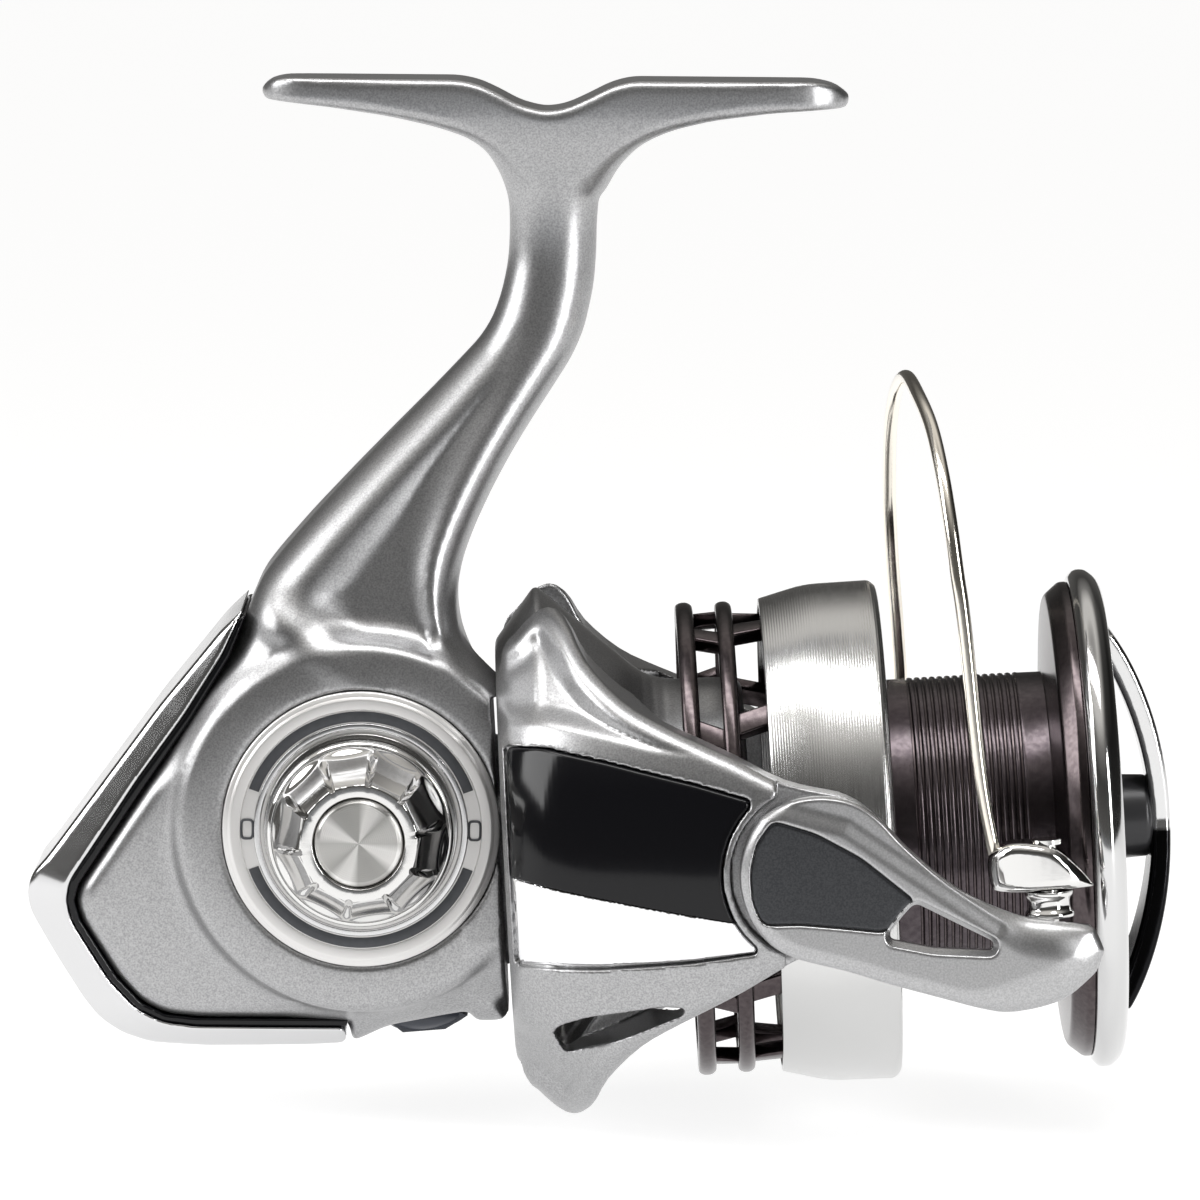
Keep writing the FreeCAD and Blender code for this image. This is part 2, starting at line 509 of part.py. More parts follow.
def on_handle(shape):
    """Handle drawing frame to row frame."""
    axis = ln(Part.Vertex(V(GEAR_S, 0, GEAR_Z))).Point
    moved = shape.copy()
    moved.rotate(V(0, 0, 0), V(0, 1, 0), -HANDLE_DROP)
    moved.translate(axis)
    return moved


def revolve_at(points, x):
    """Solid of revolution about Y at (x, 0) in the handle drawing frame."""
    wire = Part.makePolygon([V(x + r, y, 0) for y, r in points + points[:1]])
    return Part.Face(wire).revolve(V(x, 0, 0), V(0, 1, 0), 360)


# ---------------------------------------------------------------- write the parts
def write_body():
    save("body_frame", body_frame())
    save("rear_cover", rear_cover())
    save("rear_cover_gasket", cover_gasket())
    save("rear_cover_screws", cover_screws())
    save("anti_reverse_lever", lever())
    save("engine_plate", ln(engine_plate()))
    save("plate_seal", ln(tube_y(-15.5, -15.0, 14.25, 13.85)))
    save("handle_cap", ln(handle_cap()))
    save("cap_insert", ln(turn_y([(-27.1, 0), (-27.1, 4.4), (-26.8, 4.85), (-26.3, 4.85), (-26.3, 0)])))
    save("drive_bearing_near", ln(tube_y(-14.5, -11.7, 6.0, 3.06)))
    save("drive_bearing_far", ln(tube_y(10.2, 13.2, 6.47, 3.06)))
    save("pinion_bearing_rear", ln(tube_s(-7.6, -4.9, 5.47, 3.0)))
    save("pinion_bearing_front", ln(tube_s(-4.4, 0.6, 7.97, 3.01)))
    screw_holes = around_s(tube_s(-5, 12, 1.02, 0, 10.0, 0), 3)
    save("bearing_retainer", ln(tube_s(0.6, 1.6, 12.0, 4.2).cut(screw_holes)))
    save("clutch_housing", ln(tube_s(1.6, 9.6, 12.0, 7.6).cut(screw_holes)))
    save("clutch_screws", ln(Part.makeCompound(
        [c.fuse(h) for c, h in zip(around_s(tube_s(-3.4, 9.7, 0.98, 0, 10.0, 0), 3),
                                   around_s(tube_s(9.6, 10.6, 1.7, 0, 10.0, 0), 3))])))
    save("clutch_rollers", ln(Part.makeCompound(around_s(tube_s(2.4, 8.8, 0.88, 0, 6.62, 0), 8, 15))))
    save("slider_guide_rod", ln(tube_s(-45.6, -8.1, 1.0, 0, 0.4, -6.5)))
    save("osc_gear_axle", ln(tube_y(7.2, 12.0, 1.47, 0, OSC_S, OSC_Z)))


def write_drive():
    small, big = osc_gears()
    save("drive_gear", ln(drive_gear()))
    save("drive_shaft", ln(tube_y(-14.4, 17.0, 3.0, 2.05)))
    save("osc_pinion", ln(small))
    save("osc_gear", ln(big))
    save("handle_shank", ln(tube_y(-9.0, 38.0, 2.0).fuse(tube_y(30.0, 37.0, 2.5))))
    save("handle_collar", ln(turn_y([(14.3, 3.06), (14.3, 7.4), (17.6, 7.0), (30.0, 4.6), (30.0, 2.06),
                                     (17.0, 2.06), (17.0, 3.06)])))
    save("handle_arm", on_handle(handle_arm()))
    save("handle_nut", on_handle(revolve_at([(37.0, 2.05), (37.0, 5.4), (39.0, 5.0), (40.2, 3.6), (40.2, 0),
                                             (38.2, 0), (38.2, 2.05)], 0)))
    pin = revolve_at([(49.0, 0), (49.0, 2.0), (54.6, 2.0), (54.6, 3.2), (55.4, 3.2), (55.4, 2.0), (76.0, 2.0),
                      (76.0, 0)], HANDLE_LEN)
    save("knob_pin", on_handle(pin))
    grip = revolve_at([(56.2, 5.0), (56.2, 6.6), (57.4, 7.6), (62.0, 8.0), (68.0, 8.8), (74.0, 9.2), (78.0, 8.6),
                       (79.0, 7.4), (79.0, 6.0), (76.6, 6.0), (76.6, 2.6), (62.0, 2.6), (61.0, 5.0)], HANDLE_LEN)
    save("knob_grip", on_handle(grip))
    save("knob_cap", on_handle(revolve_at([(77.0, 0), (77.0, 5.97), (79.0, 5.97), (79.6, 5.0), (79.8, 0)],
                                          HANDLE_LEN)))
    rings = [revolve_at([(a, 2.05), (a, r), (b, r), (b, 2.05)], HANDLE_LEN)
             for a, b, r in ((57.0, 60.0, 4.97), (72.0, 75.0, 2.57))]
    save("knob_bearings", on_handle(Part.makeCompound(rings)))


def write_rotor():
    save("rotor", ln(rotor()))
    save("pinion", ln(pinion()))
    save("clutch_sleeve", ln(tube_s(1.8, 11.7, 5.66, 2.98)))
    nut = turn([(15.0, 3.0), (15.0, 6.6), (16.0, 6.6), (16.0, 5.2), (19.0, 5.2), (19.0, 3.0)])
    save("rotor_nut", ln(nut))
    save("rotor_nut_retainer", ln(turn([(16.0, 6.7), (16.0, 12.4), (17.0, 12.4), (17.0, 5.4), (16.1, 5.4),
                                        (16.1, 6.7)])))
    save("arm_panel_near", ln(panel(0.1)))
    save("arm_panel_far", ln(mirror_y(panel(0.1))))
    save("bail_spring", ln(coil(V(8.2, -30.0, 1.6), V(1, 0, 0), 0.75, 0.2, 0.9, 9.0)))
    save("bail_trip_lever", ln(box(8.0, 17.6, -30.9, -29.1, -3.4, -1.2)))
    save("pivot_screw_near", ln(pivot_screw()))
    save("pivot_screw_far", ln(far_pivot_screw()))
    save("bail_arm", ln(bail_arm()))
    save("bail_cover", ln(bail_cover()))
    save("bail_lever_far", ln(bail_lever()))
    save("bail_wire", ln(bail_wire()))
    save("wire_cone", ln(wire_cone()))
    save("roller_screw", ln(roller_screw()))
    save("line_roller", ln(roller()))


def write_spool():
    c = OSC_S - STROKE / 2.0
    save("main_shaft", ln(main_shaft()))
    save("slider", ln(slider()))
    save("slider_screw", ln(Part.makeCylinder(0.8, 3.2, V(c, 0, 1.75), V(0, 0, 1)).fuse(
        Part.makeCylinder(1.5, 0.8, V(c, 0, 3.6), V(0, 0, 1)))))
    save("spool_bushing", ln(tube_s(26.6, 53.4, 3.0, 1.73)))
    save("click_ratchet", ln(tube_s(24.0, 26.6, 5.4, 1.73).cut(around_s(tube_s(23, 27, 0.5, 0, 5.5, 0), 16))))
    save("spool", ln(spool()))
    save("spool_lip_ring", ln(lip_ring()))
    discs = [tube_s(53.65 + 0.55 * i, 54.1 + 0.55 * i, 12.3 if i % 2 else 11.8, 3.3) for i in range(4)]
    save("drag_washers", ln(Part.makeCompound(discs)))
    save("washer_retainer", ln(tube_s(55.8, 56.15, 12.57, 11.4)))
    save("drag_knob", ln(drag_knob()))
    nut = turn([(58.9, 1.75), (58.9, 4.6), (60.5, 4.6), (60.5, 1.75)])
    save("drag_nut", ln(nut))
    save("drag_spring", ln(coil(V(56.7, 0, 0), V(1, 0, 0), 3.2, 0.35, 0.8, 1.8)))


write_body()
write_drive()
write_rotor()
write_spool()
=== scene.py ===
import bpy
import math
import numpy as np
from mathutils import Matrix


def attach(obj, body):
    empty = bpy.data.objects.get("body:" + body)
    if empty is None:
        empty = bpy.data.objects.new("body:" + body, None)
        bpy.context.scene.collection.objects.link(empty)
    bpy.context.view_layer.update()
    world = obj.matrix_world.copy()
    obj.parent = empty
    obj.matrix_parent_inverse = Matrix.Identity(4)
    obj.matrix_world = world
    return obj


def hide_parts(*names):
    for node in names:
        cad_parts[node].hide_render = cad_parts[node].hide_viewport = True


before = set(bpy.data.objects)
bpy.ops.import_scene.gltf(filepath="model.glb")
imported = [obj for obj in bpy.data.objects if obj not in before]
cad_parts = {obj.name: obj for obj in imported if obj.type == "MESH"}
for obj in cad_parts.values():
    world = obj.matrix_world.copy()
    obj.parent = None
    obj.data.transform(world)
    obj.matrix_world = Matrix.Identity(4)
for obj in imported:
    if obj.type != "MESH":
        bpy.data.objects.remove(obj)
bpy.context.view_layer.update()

import openvdb
from mathutils import Matrix, Vector

MM = 0.001
T = math.radians(3.5)                       # nose-up tilt of the spool line
LINE_Z = -83.2                              # height of the spool line at x = 0, mm
GEAR = (-19.97, -79.43)                     # handle axis in the row frame, mm
PIVOT_S = 28.2                              # bail pivot along the spool line, mm
ROLLER = (52.3, -30.4)                      # line roller axis in the line frame, mm
BAIL_FACE = 36.75                           # outer face of the bail arm from the spool line, mm
CAMERA_DISTANCE = 0.9
FLOOR_Z, FLOOR_FRONT, FLOOR_BACK, FLOOR_SIDE = -0.1122, -0.30, 14, 9
BOX_FACES = ((0, 2, 3, 1), (4, 5, 7, 6), (0, 1, 5, 4), (2, 6, 7, 3), (0, 4, 6, 2), (1, 3, 7, 5))
CT, ST = math.cos(T), math.sin(T)
F = np.float32


# ------------------------------------------------------------ outlines
def spline(pts, per=6, closed=True):
    """Catmull-Rom through the points."""
    p = np.asarray(pts, float)
    n = len(p)
    out = []
    for i in range(n if closed else n - 1):
        if closed:
            a, b, c, d = p[i - 1], p[i], p[(i + 1) % n], p[(i + 2) % n]
        else:
            a, b, c, d = p[max(i - 1, 0)], p[i], p[i + 1], p[min(i + 2, n - 1)]
        for t in np.arange(per) / per:
            out.append(0.5 * (2 * b + (c - a) * t + (2 * a - 5 * b + 4 * c - d) * t * t
                              + (3 * b - a - 3 * c + d) * t ** 3))
    if not closed:
        out.append(p[-1])
    return np.array(out)


def fillet(pts, r=0.3, n=4, closed=True):
    """Polygon with its corners rounded; a point may carry its own radius as a third number."""
    out = []
    m = len(pts)
    for i, q in enumerate(pts):
        p = np.array(q[:2], float)
        rad = q[2] if len(q) > 2 else r
        if (not closed and i in (0, m - 1)) or rad <= 0:
            out.append(p)
            continue
        a, b = np.array(pts[i - 1][:2], float) - p, np.array(pts[(i + 1) % m][:2], float) - p
        la, lb = np.hypot(*a), np.hypot(*b)
        t = min(rad, 0.45 * la, 0.45 * lb)
        s, e = p + a / la * t, p + b / lb * t
        for k in range(n + 1):
            u = k / n
            out.append((1 - u) ** 2 * s + 2 * u * (1 - u) * p + u * u * e)
    return np.array(out)


# ------------------------------------------------------------ distance fields
def smin(a, b, k):
    """Union with a soft joint of width k."""
    h = np.clip(0.5 + 0.5 * (b - a) / k, 0, 1)
    return b * (1 - h) + a * h - k * h * (1 - h)


def both(a, b, r):
    """Intersection with a rounded edge of radius r."""
    return np.minimum(np.maximum(a + r, b + r), 0) + np.hypot(np.maximum(a + r, 0), np.maximum(b + r, 0)) - r


def oval(depth, rho, b, q):
    """Edge rounded rho deep into the outline and q deep across it."""
    u, v = np.maximum((rho - depth) / rho, 0), np.maximum((b + q) / q, 0)
    k = np.minimum(rho, q)
    inner = np.maximum(-depth, b)
    ring = (np.sqrt(u * u + v * v + 1e-9) - 1) * k
    return np.where((u > 0) & (v > 0), ring, np.where(u > 0, np.maximum((u - 1) * k, b), inner))


def poly(px, pz, pts):
    """Signed distance to a closed polygon."""
    p = np.asarray(pts, float)
    px, pz = np.asarray(px, float), np.asarray(pz, float)
    best = np.full(np.broadcast(px, pz).shape, 1e18)
    inside = np.zeros(best.shape, bool)
    for i in range(len(p)):
        a, b = p[i - 1], p[i]
        e = b - a
        wx, wz = px - a[0], pz - a[1]
        t = np.clip((wx * e[0] + wz * e[1]) / max(e @ e, 1e-12), 0, 1)
        best = np.minimum(best, (wx - e[0] * t) ** 2 + (wz - e[1] * t) ** 2)
        hit = (a[1] > pz) != (b[1] > pz)
        if abs(e[1]) > 1e-12:
            inside ^= hit & (px < a[0] + e[0] * (pz - a[1]) / e[1])
    d = np.sqrt(best)
    return np.where(inside, -d, d).astype(F)


def smooth(t):
    t = np.clip(t, 0, 1)
    return t * t * (3 - 2 * t)


class Grid:
    """Regular grid in mm; the fields on it are signed distances."""

    def __init__(self, lo, hi, h):
        self.lo, self.h = np.array(lo, float), h
        n = [int((b - a) / h) + 2 for a, b in zip(lo, hi)]
        self.n = n
        self.x, self.y, self.z = [(lo[i] + h * np.arange(n[i])).astype(F) for i in range(3)]
        self.x, self.y, self.z = self.x[:, None, None], self.y[None, :, None], self.z[None, None, :]

    def turn(self, pts, dr=0.12):
        """Signed distance to a body of revolution about the x axis from (s, r) points."""
        r = np.sqrt(self.y ** 2 + self.z ** 2)[0]
        top = float(r.max()) + 1
        rs = np.arange(0, top + dr, dr)
        table = poly(self.x[:, 0, 0][:, None], rs[None, :], pts)
        i = np.minimum((r / dr).astype(int), len(rs) - 2)
        f = (r / dr - i).astype(F)
        return table[:, i] * (1 - f) + table[:, i + 1] * f

    def mesh(self, f):
        """Quads of the zero surface, moved onto it, in mm."""
        f = np.broadcast_to(f, self.n).astype(F)
        g = openvdb.FloatGrid(background=3.0)
        g.copyFromArray(np.clip(f, -3, 3))
        p, q = g.convertToQuads(isovalue=0.0)
        p = p.astype(float)
        for _ in range(3):
            v, grad = self.sample(f, p)
            g2 = np.maximum((grad ** 2).sum(1), 0.05)
            step = np.clip(v / g2, -0.6 * self.h, 0.6 * self.h)
            p -= grad * (step / self.h)[:, None] * 0.9
        return self.lo + p * self.h, q

    def sample(self, f, p):
        """Value and gradient (per mm) by trilinear steps; p in cells."""
        def at(q):
            q = np.clip(q, 0, np.array(self.n) - 1.001)
            i = q.astype(int)
            t = q - i
            out = 0
            for dx in (0, 1):
                for dy in (0, 1):
                    for dz in (0, 1):
                        w = (np.where(dx, t[:, 0], 1 - t[:, 0]) * np.where(dy, t[:, 1], 1 - t[:, 1])
                             * np.where(dz, t[:, 2], 1 - t[:, 2]))
                        out = out + w * f[i[:, 0] + dx, i[:, 1] + dy, i[:, 2] + dz]
            return out
        e = 0.7
        grad = np.stack([(at(p + d) - at(p - d)) / (2 * e * self.h) for d in np.eye(3) * e], 1)
        return at(p), grad


# ------------------------------------------------------------ mesh helpers
def place(name, verts, faces, mat, body, replaces=(), line=False, sharp=None, slot=None):
    """A piece from points in mm; faces is an (n, 4) array or a list of index lists."""
    me = bpy.data.meshes.new(name)
    v = np.asarray(verts, float) * MM
    if line:
        v = np.stack([v[:, 0] * CT - v[:, 2] * ST, v[:, 1],
                      v[:, 0] * ST + v[:, 2] * CT + LINE_Z * MM], 1)
    if isinstance(faces, np.ndarray):
        me.vertices.add(len(v))
        me.vertices.foreach_set("co", v.astype(F).ravel())
        me.loops.add(faces.size)
        me.loops.foreach_set("vertex_index", faces.astype(np.int32).ravel())
        me.polygons.add(len(faces))
        me.polygons.foreach_set("loop_start", np.arange(0, faces.size, faces.shape[1], dtype=np.int32))
        me.update(calc_edges=True)
    else:
        me.from_pydata([tuple(p) for p in v], [], faces)
    me.validate()
    me.shade_smooth()
    if sharp:
        me.set_sharp_from_angle(angle=math.radians(sharp))
    me.materials.append(mat)
    ob = bpy.data.objects.new(name, me)
    bpy.context.collection.objects.link(ob)
    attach(ob, body)
    if replaces:
        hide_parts(*replaces)
    return ob


def lathe(name, pts, mat, body, axis="s", at=(0, 0), n=180, sharp=40, wave=None, **kw):
    """Turned piece from a closed (along, radius) outline. axis s, y or z; at is the axis's place.
    wave(angle, along, radius) may change the radius."""
    p = np.asarray(pts, float)
    m = len(p)
    ang = 2 * np.pi * np.arange(n) / n
    a, r = p[None, :, 0] + 0 * ang[:, None], p[None, :, 1] + 0 * ang[:, None]
    if wave:
        r = wave(ang[:, None], a, r)
    c, s = r * np.cos(ang)[:, None], r * np.sin(ang)[:, None]
    if axis == "s":
        v = np.stack([a, c, s], 2)
    elif axis == "y":
        v = np.stack([at[0] + c, a, at[1] + s], 2)
    else:
        v = np.stack([at[0] + c, at[1] + s, a], 2)
    idx = np.arange(n * m).reshape(n, m)
    nxt = np.roll(idx, -1, 0)
    quads = np.stack([idx, np.roll(idx, -1, 1), np.roll(nxt, -1, 1), nxt], 2).reshape(-1, 4)
    if axis != "y":
        quads = quads[:, ::-1]
    keep = ~((np.abs(r[0][(quads[:, 0]) % m]) < 1e-6) & (np.abs(r[0][quads[:, 1] % m]) < 1e-6))
    return place(name, v.reshape(-1, 3), quads[keep], mat, body, sharp=sharp, **kw)


def tube(name, pts, radius, mat, body, n=20, per=10, **kw):
    """Round wire along a smooth path, with closed ends; radius may be a function of the share run."""
    path = spline(pts, per, closed=False)
    tang = np.gradient(path, axis=0)
    tang /= np.linalg.norm(tang, axis=1)[:, None]
    side = np.cross(tang[0], (0, 0, 1.0))
    verts = []
    for i, (p, t) in enumerate(zip(path, tang)):
        side = side - t * (side @ t)
        side /= np.linalg.norm(side)
        up = np.cross(t, side)
        share = i / (len(path) - 1)
        rad = radius(share) if callable(radius) else radius
        for k in range(n):
            a = 2 * math.pi * k / n
            verts.append(p + rad * (math.cos(a) * side + math.sin(a) * up))
    faces = []
    for i in range(len(path) - 1):
        for k in range(n):
            a, b = i * n + k, i * n + (k + 1) % n
            faces.append((a, b, b + n, a + n))
    faces.append(list(range(n))[::-1])
    faces.append(list(range(len(verts) - n, len(verts))))
    return place(name, verts, faces, mat, body, sharp=50, **kw)


# ------------------------------------------------------------ materials
class Mat:
    """Small builder for procedural materials."""

    def __init__(self, name, color, metallic=0.0, rough=0.4, coat=0.0, **more):
        self.m = bpy.data.materials.new(name)
        self.m.use_nodes = True
        self.t = self.m.node_tree
        self.b = self.t.nodes["Principled BSDF"]
        self.set("Base Color", (*color, 1))
        self.set("Metallic", metallic)
        self.set("Roughness", rough)
        self.set("Coat Weight", coat)
        for k, v in more.items():
            self.set(k.replace("_", " "), v)
        self.pos = self.node("ShaderNodeTexCoord").outputs["Object"]

    def set(self, key, v):
        self.b.inputs[key].default_value = v

    def node(self, kind, **props):
        n = self.t.nodes.new(kind)
        for k, v in props.items():
            setattr(n, k, v)
        return n

    def link(self, a, b):
        self.t.links.new(a, b)

    def noise(self, scale, detail=2.0, stretch=None):
        n = self.node("ShaderNodeTexNoise")
        n.inputs["Scale"].default_value = scale
        n.inputs["Detail"].default_value = detail
        src = self.pos
        if stretch:
            mp = self.node("ShaderNodeMapping")
            mp.inputs["Scale"].default_value = stretch
            self.link(src, mp.inputs["Vector"])
            src = mp.outputs["Vector"]
        self.link(src, n.inputs["Vector"])
        return n.outputs["Fac"]

    def ramp(self, src, lo, hi, to):
        r = self.node("ShaderNodeMapRange")
        r.inputs["To Min"].default_value = lo
        r.inputs["To Max"].default_value = hi
        self.link(src, r.inputs["Value"])
        self.link(r.outputs["Result"], self.b.inputs[to])
        return self

    def tint(self, src, c0, c1, p0=0.3, p1=0.7):
        r = self.node("ShaderNodeValToRGB")
        r.color_ramp.elements[0].position, r.color_ramp.elements[1].position = p0, p1
        r.color_ramp.elements[0].color = (*c0, 1)
        r.color_ramp.elements[1].color = (*c1, 1)
        self.link(src, r.inputs["Fac"])
        self.link(r.outputs["Color"], self.b.inputs["Base Color"])
        return self

    def bump(self, src, strength, dist):
        b = self.node("ShaderNodeBump")
        b.inputs["Strength"].default_value = strength
        b.inputs["Distance"].default_value = dist
        self.link(src, b.inputs["Height"])
        if self.b.inputs["Normal"].links:
            self.link(self.b.inputs["Normal"].links[0].from_socket, b.inputs["Normal"])
        self.link(b.outputs["Normal"], self.b.inputs["Normal"])
        return self

    def rings(self, centre, direction, scale, kind="RINGS", distort=0.0):
        """Turning marks: rings about a Y axis through centre, or bands along the spool line."""
        mp = self.node("ShaderNodeMapping")
        mp.inputs["Location"].default_value = [-c * MM for c in centre]
        if kind == "BANDS":
            mp.inputs["Location"].default_value = (0, 0, 0)
            mp.inputs["Rotation"].default_value = (0, T, 0)
        self.link(self.pos, mp.inputs["Vector"])
        w = self.node("ShaderNodeTexWave", wave_type=kind)
        if kind == "RINGS":
            w.rings_direction = direction
        else:
            w.bands_direction = direction
        w.inputs["Scale"].default_value = scale
        w.inputs["Distortion"].default_value = distort
        w.inputs["Detail"].default_value = 2
        w.inputs["Detail Scale"].default_value = 3
        self.link(mp.outputs["Vector"], w.inputs["Vector"])
        return w.outputs["Fac"]


def flake_paint(name, dark, light, rough, metallic=0.85, coat=0.25):
    """Metallic paint: fine flake in colour and bump, soft orange peel."""
    m = Mat(name, light, metallic, rough, coat, Coat_Roughness=0.12)
    m.tint(m.noise(5200, 1.0), dark, light, 0.32, 0.68)
    m.bump(m.noise(6500, 1.0), 0.10, 0.00004)
    m.bump(m.noise(260, 2.0), 0.03, 0.0002)
    return m.m


def polished(name, color, rough, scale=900, wear=0.05):
    m = Mat(name, color, 1.0, rough)
    m.ramp(m.noise(scale, 4.0, (1, 1, 6)), rough * 0.7, rough + wear, "Roughness")
    m.bump(m.noise(90, 0.0), 0.004, 0.0002)
    return m.m


def plain(name, color, metallic, rough, grain=2500, amount=0.12, coat=0.0):
    m = Mat(name, color, metallic, rough, coat)
    m.ramp(m.noise(grain, 3.0), rough * 0.85, rough * 1.15, "Roughness")
    m.bump(m.noise(grain, 2.0), amount, 0.00004)
    dark = [c * 0.86 for c in color]
    m.tint(m.noise(grain * 0.5, 3.0), dark, color)
    return m.m


def gloss_black():
    m = Mat("gloss_black", (0.004, 0.004, 0.005), 0.0, 0.12, IOR=1.36)
    m.ramp(m.noise(900, 3.0), 0.09, 0.15, "Roughness")
    return m.m


def grip_rubber():
    m = Mat("grip_rubber", (0.02, 0.02, 0.021), 0.0, 0.6)
    m.tint(m.noise(1500, 3.0), (0.014, 0.014, 0.015), (0.028, 0.028, 0.029))
    m.ramp(m.noise(700, 2.0), 0.52, 0.7, "Roughness")
    m.bump(m.noise(2200, 2.0), 0.3, 0.00006)
    m.bump(m.rings((0, 0, 0), "Y", 120, "BANDS"), 0.7, 0.0004)
    return m.m


def plate_metal():
    m = Mat("plate_metal", (0.72, 0.71, 0.70), 0.6, 0.30)
    m.bump(m.noise(4500, 1.0), 0.08, 0.00004)
    return m.m


def spun_insert_painted_fans():
    m = Mat("spun_insert_painted_fans", (0.84, 0.83, 0.81), 1.0, 0.34, Anisotropic=0.9, Anisotropic_Rotation=0.25)
    m.bump(m.rings((GEAR[0], 0, GEAR[1]), "Y", 1500), 0.35, 0.00003)
    # The base colour is painted with four light and four dark fans round the insert's centre. This is a
    # painted reflection of the spun finish's highlights, not a colour of the metal.
    fan = m.node("ShaderNodeMapping", vector_type="POINT")
    fan.inputs["Location"].default_value = (-GEAR[0] * MM, GEAR[1] * MM, 0)
    fan.inputs["Rotation"].default_value = (math.pi / 2, 0, 0)
    m.link(m.pos, fan.inputs["Vector"])
    rad = m.node("ShaderNodeTexGradient", gradient_type="RADIAL")
    m.link(fan.outputs["Vector"], rad.inputs["Vector"])
    turns = m.node("ShaderNodeMath", operation="MULTIPLY")
    turns.inputs[1].default_value = 8 * math.pi
    m.link(rad.outputs["Fac"], turns.inputs[0])
    painted_highlight_fans = m.node("ShaderNodeMath", operation="SINE")
    m.link(turns.outputs[0], painted_highlight_fans.inputs[0])
    m.tint(painted_highlight_fans.outputs[0], (0.46, 0.455, 0.44), (0.86, 0.85, 0.83), 0.0, 0.8)
    tg = m.node("ShaderNodeTangent", direction_type="RADIAL", axis="Y")
    m.link(tg.outputs["Tangent"], m.b.inputs["Tangent"])
    return m.m


def turned_skirt():
    m = Mat("turned_skirt", (0.65, 0.65, 0.645), 1.0, 0.20)
    m.bump(m.rings((0, 0, 0), "X", 1100, "BANDS", 0.6), 0.30, 0.00004)
    m.ramp(m.noise(300, 3.0, (14, 1, 1)), 0.16, 0.30, "Roughness")
    return m.m


def lip_polish():
    m = Mat("lip_polish", (0.66, 0.66, 0.66), 1.0, 0.12)
    m.ramp(m.noise(700, 3.0), 0.07, 0.14, "Roughness")
    return m.m


def anodised():
    m = Mat("anodised", (0.085, 0.070, 0.072), 1.0, 0.22)
    m.tint(m.noise(1800, 2.0), (0.070, 0.057, 0.060), (0.105, 0.088, 0.090))
    return m.m


def anodised_arbor():
    m = Mat("anodised_arbor", (0.16, 0.14, 0.14), 1.0, 0.26)
    m.tint(m.noise(1500, 2.0), (0.070, 0.058, 0.064), (0.11, 0.094, 0.10))
    return m.m


def knob_hub():
    m = Mat("knob_hub", (0.03, 0.03, 0.032), 0.3, 0.3)
    return m.m


def knob_bar_metal():
    m = Mat("knob_bar_metal", (0.66, 0.66, 0.66), 1.0, 0.16)
    # The base colour is split by height near the knob's axis: silver above, near-black below. This is painted
    # light on the upper half and painted shade on the lower half of one metal bar.
    sep = m.node("ShaderNodeSeparateXYZ")
    m.link(m.pos, sep.inputs["Vector"])
    half = m.node("ShaderNodeMapRange")
    half.inputs["From Min"].default_value, half.inputs["From Max"].default_value = -0.0805, -0.0800
    m.link(sep.outputs["Z"], half.inputs["Value"])
    painted_light_split = m.node("ShaderNodeMix", data_type="RGBA")
    painted_light_split.inputs[6].default_value = (0.012, 0.012, 0.013, 1)
    painted_light_split.inputs[7].default_value = (0.70, 0.70, 0.70, 1)
    m.link(half.outputs["Result"], painted_light_split.inputs[0])
    m.link(painted_light_split.outputs[2], m.b.inputs["Base Color"])
    m.bump(m.noise(1500, 2.0), 0.04, 0.00003)
    return m.m


# materials by key
M = {}
M["paint"] = flake_paint("satin_paint", (0.32, 0.32, 0.325), (0.47, 0.47, 0.475), 0.34, 0.94, 0.0)
M["bail"] = flake_paint("bail_paint", (0.38, 0.38, 0.385), (0.50, 0.50, 0.505), 0.32, 0.94, 0.0)
M["graphite"] = flake_paint("graphite_inlay", (0.05, 0.052, 0.056), (0.075, 0.077, 0.082), 0.34, 0.85, 0.0)
M["chrome"] = polished("cover_chrome", (0.66, 0.66, 0.665), 0.16, 60, 0.02)
M["mirror"] = polished("polished_steel", (0.74, 0.735, 0.725), 0.06)
M["wire"] = polished("warm_steel", (0.92, 0.87, 0.78), 0.16)
M["steel"] = plain("ground_steel", (0.62, 0.62, 0.62), 1.0, 0.28)
M["black"] = gloss_black()
M["band"] = polished("panel_band", (0.84, 0.84, 0.85), 0.04)
M["seal"] = plain("black_seal", (0.012, 0.012, 0.013), 0.0, 0.30)
M["lever"] = plain("lever_plastic", (0.045, 0.05, 0.065), 0.0, 0.35)
M["inner"] = plain("inner_plastic", (0.03, 0.03, 0.033), 0.0, 0.5)
M["dark"] = plain("dark_inlay", (0.075, 0.078, 0.085), 0.5, 0.42)
M["felt"] = plain("washer_felt", (0.25, 0.2, 0.14), 0.0, 0.9, 3000, 0.6)
M["brass"] = plain("gear_brass", (0.65, 0.47, 0.2), 1.0, 0.3)
M["rubber"] = grip_rubber()
M["plate"] = plate_metal()
M["spun"] = spun_insert_painted_fans()
M["skirt"] = turned_skirt()
M["lip"] = lip_polish()
M["anod"] = anodised()
M["arbor"] = anodised_arbor()
M["hub"] = knob_hub()
M["knobbar"] = knob_bar_metal()

